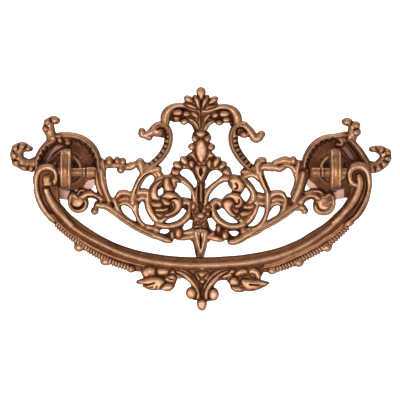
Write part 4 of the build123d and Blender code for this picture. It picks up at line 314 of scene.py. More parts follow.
# crest heights are half thicknesses (mm from the middle plane)
BAIL_STROKES = [
 # main bright ridge of the bar
 (2.35,'v',[(45,178,7),(45,190,8),(48,197,9.5),(52,204,10.5),(57,211,11),(60,214,11.5),(66,221,12),(72,226.5,12),(80,232,12),(88,237,12),(95,240.5,12),(103,244.5,12),(110,248,12),(118,251.5,12.5),(126,254.5,13),(134,257,13),(142,259.3,13.5),(150,261,14),(160,262.7,14),(170,264,14),(180,264.7,14),(200,265.5,14),(215,265.2,14),(230,264.2,14),(245,263,14),(258,261,14),(270,258.5,13.5),(280,255.7,13),(290,252,12.5),(300,247.5,12.5),(310,242,12),(320,235,12),(330,227.5,12),(340,218,12),(347,210,11),(353,200,10.5),(357,190,9),(358.5,182,8),(358,176,7)]),
 # second thin ridge
 (1.75,'v',[(57,221,2.6),(62,226,3),(68,231,3.2),(75,236,3.2),(83,241.5,3.2),(90,246,3.2),(97,249.5,3.2),(105,253.5,3.2),(113,257,3.2),(120,259.5,3.2),(128,262,3),(135,264,2.8),(142,265.5,2)]),
 (1.75,'v',[(265,265.5,2),(272,264,2.8),(280,261.5,3),(288,258,3.2),(297,254,3.2),(305,250.5,3.2),(315,245,3.2),(325,238.5,3.2),(335,232,3.2),(343,224,2.6)]),
  # cord of the rope edging
 (1.15,'r',[(57,225.3,4.4),(62,229.8,4.6),(68,234.8,4.6),(74,239.8,4.6),(79.5,244,4.6),(85,247.8,4.6),(92,252.3,4.6),(99,256.4,4.6),(105,259.8,4.6),(110,261.9,4.6),(116,264.4,4.4),(122,266.4,4.2),(127,268,3.8)]),
 (1.15,'r',[(275,270,3.4),(279,269.3,4),(284,267.7,4.4),(289,266,4.6),(294,263.8,4.6),(299,261.5,4.6),(304,259,4.6),(311,255.3,4.6),(318,251.5,4.6),(323,248.5,4.6),(328,245.1,4.4),(333,241.2,4.2),(338,236.7,4.2),(343,231.9,4.2),(346.6,228.4,4)]),
 # left volute
 (2.2,'r',[(48,183.5,3),(52,182.9,5),(55.3,180.6,5.8),(56.2,176.5,5.4),(55.2,171.6,6.2),(51.6,168,6.6),(46.5,167,6.4),(41.4,168.6,6),(37.9,172.7,5.6),(36,179,5.6),(36.1,188,5.4),(38,196.1,5.4),(41.3,204.3,5.4),(45.5,211.1,5.4),(49.8,216.3,5.2),(54,220.2,4)]),
 (1.5,'r',[(46.5,178,5),(45.5,184,6)]),
 # right volute
 (2.2,'r',[(356,184.6,4),(352.3,182.8,6),(349.9,178.5,6),(349.5,172.5,6.4),(352.4,167.8,7.4),(358,166,8),(363.6,167.5,7.2),(367.5,172.2,6.4),(369,179.5,5.8),(368.6,188,5.6),(366.4,196.2,5.6),(362.7,204.4,5.6),(358.3,211.4,5.4),(354,216.8,5),(349,220.5,4)]),
 # ---- left flower
 (2.3,'r',[(143.8,269.5,4.6),(145.3,273.5,6.8),(149,276,6),(153.5,276.3,4)]),
 (2.0,'r',[(144,270,5),(149,270,6),(154,272,5)]),
 (2.3,'r',[(158.5,271.5,4.5),(163,270,6),(167.5,271,5.5)]),
 (2.3,'r',[(166.5,277,4),(169.5,280.5,6),(173.5,279,6),(174.5,275.5,4)]),
 (2.3,'r',[(164.5,288,6),(168.3,288,7.2),(171.8,285.6,5.4)]),
 (2.2,'r',[(137.8,282.4,3.4),(143,281.9,5.4),(149,280.8,7),(155,281.2,8),(160,282.8,8)]),
 (2.2,'r',[(144.6,285.9,4),(150,287.2,6),(156,286.8,8),(161,285.5,8)]),
 # ---- right flower
 (2.3,'r',[(236.5,272,4.5),(241,271.8,6.5),(246,272,6)]),
 (2.3,'r',[(250,270.5,4.5),(255,270.8,6),(258.3,274.3,5),(259,278.5,3)]),
 (2.3,'r',[(229.9,280.3,5.8),(233.3,281.3,7.4),(236,283.2,5.6)]),
 (2.3,'r',[(233.2,287.7,4.8),(237.5,289.2,6.8),(242,289.9,5)]),
 (2.2,'r',[(244.5,284,7),(250,282.3,7.5),(257,282.8,5.5),(263,283.4,4.5),(268,283.6,2.6)]),
 (2.2,'r',[(244.5,286.3,8),(250,287.9,7.6),(255.5,287.7,6.2),(260.5,286.6,4.6),(266,284.8,3)]),
 # ---- pendant
 (2.4,'r',[(171,273,5),(177.5,272.9,7),(183.3,274.3,8.2),(188,276.6,7.8),(191.9,280.5,7.3),(194.8,285.2,7),(196.2,290.5,7),(196.2,295.2,6.6),(195,298,5.4)]),
 (2.4,'r',[(233,271.5,4),(224,271.5,5),(217,274,6.5),(212.5,277.7,7),(209,282.2,7),(206.8,286.7,7),(205.9,291.7,7),(206.8,296.5,6.8),(209,299.2,5.6)]),
 (2.0,'r',[(197,274,3.5),(199,278.5,4),(201,282,3.5)]),
 (2.0,'r',[(207.3,274,3.5),(205.3,278.5,4),(203.6,282,3.5)]),
 (2.1,'r',[(202.4,270,4),(202.4,275.5,5.5),(202.4,280,3)]),
 (1.9,'r',[(175.5,274.5,5),(180,277,4)]),
 (1.9,'r',[(230,274.5,5),(224,276.5,4)]),
]
BAIL_DOMES = [
 (2.2,78.8,247.2,5,4.6,0),(2.2,105.3,261.7,5.1,4,0),(2.2,131,269.4,4,3.5,0),
 (2.2,272.4,270.9,4.6,3.7,0),(2.2,298.9,262.9,5,4.2,0),(2.2,327.3,247.4,4.8,4.5,0),
 (2.1,52.3,217.6,5.8,4,40),(2.1,349.5,223,5.6,3.4,-32),
 (2.3,148.3,273.3,6.8,5.6,0),(2.1,163.3,270.8,6.5,3.6,0),(2.3,171,279.3,5.3,5,0),(2.2,167.8,287.4,4.8,3.8,0),(2.4,155.5,283,8.5,6.2,0),
 (2.3,241,272.6,6.4,4,0),(2.2,254.5,272.5,6.3,5,0),(2.3,233.4,281,4.8,4.4,0),(2.2,238.2,288.6,5.8,3.4,0),(2.4,247.3,285,6,6.3,0),
 (2.5,191.3,293.6,5.3,6,0),(2.5,213.4,294.8,5.4,6.4,0),(2.2,203,281.8,2.6,2.6,0),(2.3,201.9,304.3,4.9,6.9,0),
]
BAIL_WEBS = [
 (1.0,[(224,270),(213,276),(208,282),(206,288),(209,292),(213,288),(218,281.5),(228,279.5),(231,272)]),
 (1.0,[(197,296),(208,296),(205,301.5),(199,301.5)]),
 (1.0,[(143,268),(148,269),(150,279),(144,281),(143.5,276)]),
 (1.0,[(260,268),(255,269),(255,280),(261,282),(259,275)]),
 (1.0,[(33.4,178),(35.6,170.2),(40,166.3),(46,166),(54,167),(58,173),(58,186),(60,200),(58,214),(52,220),(45,213),(38,203),(34.5,192)]),
 (1.0,[(371,178),(368,168),(361,163.5),(354,163.5),(349.5,168),(349,178),(352,186),(350,200),(346,212),(352,222),(361,213),(367,203),(370.5,192)]),
 (1.0,[(176,268),(230,268),(224,276),(213,282),(209,288),(208,300),(197,300),(194,287),(188,277),(180,274)]),
 (1.1,[(143,268),(178,268),(176,282),(171,290),(154,289),(148,285),(144,276)]),
 (1.1,[(229,268),(262,268),(259,281),(252,290),(234,290),(229,281)]),
 (1.0,[(197,296),(207,296),(204,301),(200,301)]),
]


def spline(pts, step):
    """Smooth open curve through the points, sampled densely."""
    p = np.array(pts, float)
    e = np.vstack([2 * p[0] - p[1], p, 2 * p[-1] - p[-2]])
    out = []
    for i in range(1, len(e) - 2):
        a, b, c, d = e[i - 1], e[i], e[i + 1], e[i + 2]
        n = max(1, int(math.ceil(math.hypot(c[0] - b[0], c[1] - b[1]) / step)))
        t = (np.arange(n) / n)[:, None]
        out.append(0.5 * ((2 * b) + (-a + c) * t + (2 * a - 5 * b + 4 * c - d) * t * t
                          + (-a + 3 * b - 3 * c + d) * t ** 3))
    out.append(p[-1:])
    return np.vstack(out)


def smooth_loop(poly, step=1.2):
    """Smooth closed curve through the points."""
    P = np.array(poly, float)
    n = len(P)
    out = []
    for i in range(n):
        a, b, c, d = P[i - 1], P[i], P[(i + 1) % n], P[(i + 2) % n]
        m = max(2, int(math.ceil(math.hypot(*(c - b)) / step)))
        t = (np.arange(m) / m)[:, None]
        out.append(0.5 * ((2 * b) + (-a + c) * t + (2 * a - 5 * b + 4 * c - d) * t * t
                          + (-a + 3 * b - 3 * c + d) * t ** 3))
    return np.vstack(out)


def loop_distance(px, py, poly):
    """Signed distance to a closed loop, positive inside."""
    P = np.array(poly, float)
    Q = np.roll(P, -1, 0)
    d2 = np.full(px.shape, 1e18)
    ins = np.zeros(px.shape, bool)
    for (x0, y0), (x1, y1) in zip(P, Q):
        ex, ey = x1 - x0, y1 - y0
        L = ex * ex + ey * ey
        if L < 1e-12:
            continue
        t = np.clip(((px - x0) * ex + (py - y0) * ey) / L, 0, 1)
        d2 = np.minimum(d2, (px - x0 - t * ex) ** 2 + (py - y0 - t * ey) ** 2)
        c = (y0 > py) != (y1 > py)
        ins ^= c & (px < x0 + (py - y0) * ex / (ey if ey != 0 else 1e-12))
    d = np.sqrt(d2)
    return np.where(ins, d, -d)


class Relief:
    """Outline field F (positive inside the metal), height H and place across the form T, over the drawing."""

    def __init__(self, x0, y0, x1, y1, step, edge):
        self.x = np.arange(x0, x1 + step / 2, step)
        self.y = np.arange(y0, y1 + step / 2, step)
        self.step, self.edge = step, edge
        self.X, self.Y = np.meshgrid(self.x, self.y)
        self.F = np.full(self.X.shape, -50.0)
        self.H = np.full(self.X.shape, float(edge))
        self.T = np.ones(self.X.shape)          # 0 on a form's crest, 1 on the ground
        self.D = np.zeros(self.X.shape)         # how far inside its form a place lies

    def window(self, x0, y0, x1, y1, m):
        i0 = max(0, int((x0 - m - self.x[0]) / self.step))
        i1 = max(i0, min(len(self.x), int((x1 + m - self.x[0]) / self.step) + 2))
        j0 = max(0, int((y0 - m - self.y[0]) / self.step))
        j1 = max(j0, min(len(self.y), int((y1 + m - self.y[0]) / self.step) + 2))
        return slice(j0, j1), slice(i0, i1)

    def merge(self, sl, f, h, k, t=1.0, d=0.0):
        F = self.F[sl]
        b = np.clip(0.5 + 0.5 * (f - F) / k, 0, 1)
        self.F[sl] = F * (1 - b) + f * b + k * b * (1 - b)
        self.T[sl] = np.where(h > self.H[sl], t, self.T[sl])
        self.D[sl] = np.where(h > self.H[sl], d, self.D[sl])
        self.H[sl] = np.maximum(self.H[sl], h)

    def stroke(self, crest, prof, pts, k=1.1):
        q = spline(pts, 0.8)
        sl = self.window(q[:, 0].min(), q[:, 1].min(), q[:, 0].max(), q[:, 1].max(), q[:, 2].max() / 2 + 3)
        best = np.full(self.X[sl].shape, -9.0)
        bt, bd = np.full(best.shape, 9.0), np.zeros(best.shape)
        for i in range(len(q) - 1):
            x0, y0, w0 = q[i]
            x1, y1, w1 = q[i + 1]
            s2 = self.window(min(x0, x1), min(y0, y1), max(x0, x1), max(y0, y1), max(w0, w1) / 2 + 2.5)
            X, Y = self.X[s2], self.Y[s2]
            loc = (slice(s2[0].start - sl[0].start, s2[0].stop - sl[0].start),
                   slice(s2[1].start - sl[1].start, s2[1].stop - sl[1].start))
            ex, ey = x1 - x0, y1 - y0
            t = np.clip(((X - x0) * ex + (Y - y0) * ey) / (ex * ex + ey * ey + 1e-12), 0, 1)
            d = np.hypot(X - x0 - t * ex, Y - y0 - t * ey)
            w = (w0 + (w1 - w0) * t) / 2
            m = (w - d) > best[loc]
            best[loc] = np.where(m, w - d, best[loc])
            bt[loc] = np.where(m, d / (np.maximum(w, 0.2) + GROW), bt[loc])
            bd[loc] = np.where(m, np.maximum(w, 0.2) + GROW - d, bd[loc])
        t = np.clip(bt, 0, 1)
        if prof == 'r':
            p = 0.4 * (1 - t ** 8) + 0.6 * (np.sqrt(1 - 0.83 * t * t) - 0.4123) / 0.5877
        elif prof == 'k':               # hollow-sided ridge with a narrow crest
            p = 0.5 + 0.5 * np.cos(np.pi * np.clip(t, 0, 1) ** 0.9)
            t = np.minimum(1.7 * t, 0.8) + np.where(t >= 1, 1, 0)
        else:
            p = 0.15 * (1 - t ** 8) + 0.45 * np.clip(1 - t, 0, 1) ** 0.95 + 0.4 * (np.sqrt(1 - 0.83 * t * t) - 0.4123) / 0.5877
        self.merge(sl, best, np.where(bt < 1, self.edge + (crest - self.edge) * p, self.edge), k, np.clip(t, 0, 1), bd)

    def dome(self, crest, cx, cy, rx, ry, ang):
        sl = self.window(cx - rx, cy - ry, cx + rx, cy + ry, 4)
        X, Y, a = self.X[sl] - cx, self.Y[sl] - cy, math.radians(ang)
        r = np.hypot((X * math.cos(a) + Y * math.sin(a)) / rx, (-X * math.sin(a) + Y * math.cos(a)) / ry)
        t = np.clip(r / (1 + 0.45 / min(rx, ry)), 0, 1)
        h = self.edge + (crest - self.edge) * (0.3 * (1 - t ** 8) + 0.7 * np.sqrt(1 - t * t))
        self.merge(sl, (1 - r) * min(rx, ry), h, 1.1, t, (1 - t) * (min(rx, ry) + 0.45))

    def web(self, z, poly):
        P = smooth_loop(poly)
        sl = self.window(P[:, 0].min(), P[:, 1].min(), P[:, 0].max(), P[:, 1].max(), 3)
        f = loop_distance(self.X[sl], self.Y[sl], P)
        self.merge(sl, f, np.where(f > 0, z, self.edge), 0.5)

    def cut(self, poly, shrink=0.45):
        P = smooth_loop(poly)
        sl = self.window(P[:, 0].min(), P[:, 1].min(), P[:, 0].max(), P[:, 1].max(), 3)
        f = loop_distance(self.X[sl], self.Y[sl], P) - shrink
        self.F[sl] = np.minimum(self.F[sl], -f)

    def petal(self, crest, poly, low=0.62, slope=1.5, sink=1.7):
        """Flat-topped form with an outline of its own; what lies under it is lowered first."""
        P = smooth_loop(poly, 0.6)
        sl = self.window(P[:, 0].min(), P[:, 1].min(), P[:, 0].max(), P[:, 1].max(), 3)
        d = loop_distance(self.X[sl], self.Y[sl], P) + 0.6
        H, T, D = self.H[sl], self.T[sl], self.D[sl]
        u = np.clip(d / slope, 0, 1)
        m = d > -0.45
        top = self.edge + (crest - self.edge) * (low + (1 - low) * np.sqrt(1 - (1 - u) ** 2))
        swell = np.clip(d / 4.0, 0, 1)
        top = np.where(d > 0, top - 0.34 * (1 - swell) ** 2, np.minimum(H, self.edge + (crest - self.edge) * low * 0.8))
        H[m], T[m], D[m] = top[m], np.where(d > 0, 1 - 0.62 * np.clip(d / 2.4, 0, 1), 0.9)[m], np.maximum(1.1 * d, 0.25)[m]



# ---- fine carving on the plate: (depth mm, points x y width) ----
PLATE_CUTS = [
 # low curls, lines between the lobes
 (0.62, [(27.4,143.6,1.2),(26,146.5,1.5),(24,149.2,1)]), (0.62, [(18.3,143.3,1.2),(18.3,146.5,1.5),(18.3,149.4,1)]),
 (0.62, [(11.6,149.2,1.2),(13.5,151,1.5),(15.8,153.3,1)]), (0.62, [(12,159.4,1.2),(15,159.8,1.5),(17.8,160,1)]),
 (0.58, [(19.6,165,1.2),(22.5,165.3,1.5),(25.2,166.2,1)]), (0.58, [(27.3,169.6,1.2),(28.4,167,1.5),(29.2,164.6,1)]),
 (0.58, [(32.8,170.4,1.2),(34,168,1.5),(35.2,165.6,1)]),
 (0.62, [(375.4,146.4,1.2),(376.8,149,1.5),(378,151.3,1)]), (0.62, [(384.6,147.6,1.2),(384,150.6,1.5),(382.4,152.8,1)]),
 (0.62, [(390.8,154.6,1.2),(387.6,155.2,1.5),(384.6,156,1)]), (0.62, [(389.3,161.4,1.2),(386,161,1.5),(383,160.2,1)]),
 (0.58, [(382.2,168.4,1.2),(381.4,166,1.5),(380,163.2,1)]), (0.58, [(375.2,171,1.2),(375,168.5,1.5),(374.6,165.6,1)]),
 # top curls
 (0.62, [(50.2,117.8,1.2),(51,120.4,1.5),(51.6,122.8,1)]), (0.62, [(43.8,125.2,1.2),(46.4,126,1.5),(49,127.4,1)]),
 (0.58, [(55.2,136.2,1.2),(56.6,138.6,1.5),(57.6,141.2,1)]), (0.58, [(62,135.6,1.2),(62.6,138.6,1.4),(63.2,141.6,1)]),
 (0.62, [(352,121,1.2),(351.2,123.4,1.5),(350.2,125.4,1)]), (0.62, [(358.6,128.2,1.2),(355.8,128.8,1.5),(353,129.4,1)]),
 (0.58, [(347.6,136.4,1.2),(346.8,138.6,1.5),(345.6,140.6,1)]),
 # teeth along the rims
 (1.5, [(48.5,149,2),(46.4,145.6,1)]), (1.5, [(44.8,152.6,2),(42.4,149.6,1)]), (1.5, [(42.6,157,2),(39.8,154.6,1)]), (1.5, [(40.6,162,2),(37.9,160,1)]),
 (1.7, [(73.2,141.6,2),(73.8,138.4,1)]), (1.7, [(78.8,142.8,2),(80.2,139.6,1)]), (1.7, [(84,145.8,2),(86.1,143,1)]),
 (1.7, [(88.4,149.8,2),(91,147.6,1)]), (1.7, [(91.6,154.8,2),(94.4,153.2,1)]), (1.7, [(93.6,160,2),(96.4,159,1)]),
 (1.7, [(333,140.4,2),(332.6,137,1)]), (1.7, [(327.5,141.8,2),(326.6,138.6,1)]), (1.7, [(322.5,143.6,2),(321,140.4,1)]),
 (1.7, [(318.2,147,2),(315.9,144.2,1)]), (1.7, [(315.2,151,2),(312.3,149,1)]), (1.7, [(312.6,155,2),(309.6,153.4,1)]),
 (1.7, [(310.4,159.4,2),(307.4,158.4,1)]), (1.7, [(309,163.6,2),(305.9,163,1)]),
 # foot of the stem
 (1.2, [(200.6,203.4,6),(200.6,207,7),(200.6,209.6,5)]),
 # great S arms
 (1.2, [(165.2,133.5,2.2),(168.1,134.3,1)]), (1.2, [(165.4,137.9,2.2),(168.4,138.2,1)]), (1.2, [(164.6,142.7,2.2),(167.6,143.5,1)]),
 (1.2, [(162.6,147.2,2.2),(165.6,148.4,1)]), (1.2, [(160.0,151.9,2.2),(163.0,153.5,1)]), (1.2, [(156.0,156.4,2.2),(158.7,158.3,1)]),
 (1.2, [(152.2,160.0,2.2),(154.9,161.8,1)]), (1.2, [(148.1,162.9,2.2),(150.5,164.6,1)]),
 (1.6, [(157.4,128.9,1.6),(160.4,127.6,2),(163.8,128.6,2.2),(165.6,132,2.4),(165.8,136,1.6)]),
 (1.2, [(237.0,137.5,2.2),(234.0,138.1,1)]), (1.2, [(237.2,142.2,2.2),(234.2,143.0,1)]), (1.2, [(238.4,146.4,2.2),(235.5,147.5,1)]),
 (1.2, [(240.4,151.1,2.2),(237.5,152.4,1)]), (1.2, [(242.8,154.7,2.2),(240.1,156.4,1)]), (1.2, [(245.7,158.4,2.2),(243.0,160.2,1)]),
 (1.2, [(248.9,162.0,2.2),(246.5,163.8,1)]), (1.2, [(251.9,165.4,2.2),(249.7,167.2,1)]),
 (1.6, [(246.2,131.7,1.6),(243.4,128.4,2),(239.6,127.6,2.2),(237,129.6,2.4),(236.6,133.6,1.6)]),
 # roses, hollows
 (1.0, [(169.6,200,1),(172,198.4,1.3),(175.4,197.8,1.3),(178,198.8,0.8)]), (1.0, [(235.4,182.6,1),(237.4,184.6,1.2),(237,187.4,1.4),(234.8,188.6,1)]),
 (0.9, [(235,203.4,1),(237.6,203.6,1.3),(239.2,201,1.2),(239,199,0.8)]),
 (0.9, [(70.6,202.4,1),(72.6,206.2,2),(77,208.2,2.2),(81.2,206.6,2),(83.4,203,1)]),
 (1.0, [(112.6,203.4,1.2),(112.6,206.8,1.2)]),
 # the eye of the drop and the lines of the shaft
 (1.6, [(200.9,167.4,1.4),(200.9,171,4.2),(200.9,174.8,1.6)]),
 (0.9, [(198.6,182,0.8),(198.7,192,1.2),(198.6,203,1)]), (0.9, [(203.4,182,0.8),(203.3,192,1.2),(203.4,203,1)]),
 (0.8, [(200.8,110.6,1),(201,116,1.4),(201.1,122,1.4),(201.1,128,1)]),
 (1.0, [(190.6,210,1),(191.6,214,1.6),(190.8,219,1)]), (1.0, [(211.4,210,1),(210.6,214,1.6),(211.4,219,1)]),
  (0.9, [(194.6,229,1),(200.6,227.6,1.3),(206.8,229,1)]),
 (0.8, [(200.4,234,1),(200.6,240,1.5),(200.6,248,1)]),
 # veins of the bars and leaves
 (0.25, [(103,206.9,0.8),(110,209.9,1.1),(118,215.7,1.1),(126,221.2,1.1),(135,227,1.1),(144,231.6,1.1),(152,235.4,0.8)]),
 (0.25, [(298,206.8,0.8),(291.6,210.2,1.1),(284,215.6,1.1),(276,220.9,1.1),(268,225.2,1.1),(260,229.6,1.1),(252,233.8,0.8)]),
 (0.7, [(99,199.4,0.8),(93,196,1),(87,196.2,0.8)]), (0.7, [(304,200.4,0.8),(309,197.4,1),(315,197.9,0.8)]),
 (0.8, [(150,172.6,0.8),(144.6,175.6,1.1),(140.6,180.6,1.1),(137.6,186.6,1.1),(135.6,193,1)]),
 (0.8, [(262.4,175,0.8),(264.4,180,1.1),(267,186.6,1.1),(269.4,193,1)]),
 (0.8, [(185.6,110.2,0.8),(180,108.4,1),(174.6,108.8,1)]), (0.8, [(217.4,109.8,0.8),(223,109.4,1),(228.6,110.6,1)]),
]
# thin raised lips that give the scrolls their double edge: (height mm, profile, points)
PLATE_LIPS = [
 (2.0,'v',[(53.4,188.3,1.2),(55.8,186.5,2),(58.3,184.3,1.2)]), (2.0,'v',[(333.4,190.2,1.2),(336.4,189.2,1.8),(339.4,187.2,1.4)]),
 (3.3,'v',[(104.6,176,2.2),(106.8,184,2.4),(109,191,2.2)]),
 (3.1,'v',[(151,200,2),(150.4,206,2.2),(153,212.4,2.2),(156.8,217.6,2)]),
]

# full leaves and bosses that fill the openwork's broad places: (height mm, profile, points)
PLATE_LEAVES = [
 # heads between the roses and the stem
 (3.3,'r',[(183.6,202.4,5.4),(187.4,202,5.4),(191,205.4,6)]), (3.3,'r',[(219.6,202,5.6),(215,201.6,6),(212,205.4,6)]),
 # clusters under the arch
 (2.9,'r',[(200.6,112,3.6),(200.6,119,3.6),(200.8,127,3)]),
 # right rose's outer band
 (3.35,'r',[(244.6,182,5),(250.4,187,6.6),(253.4,193,7.4),(253.4,199,7.6)]),
]
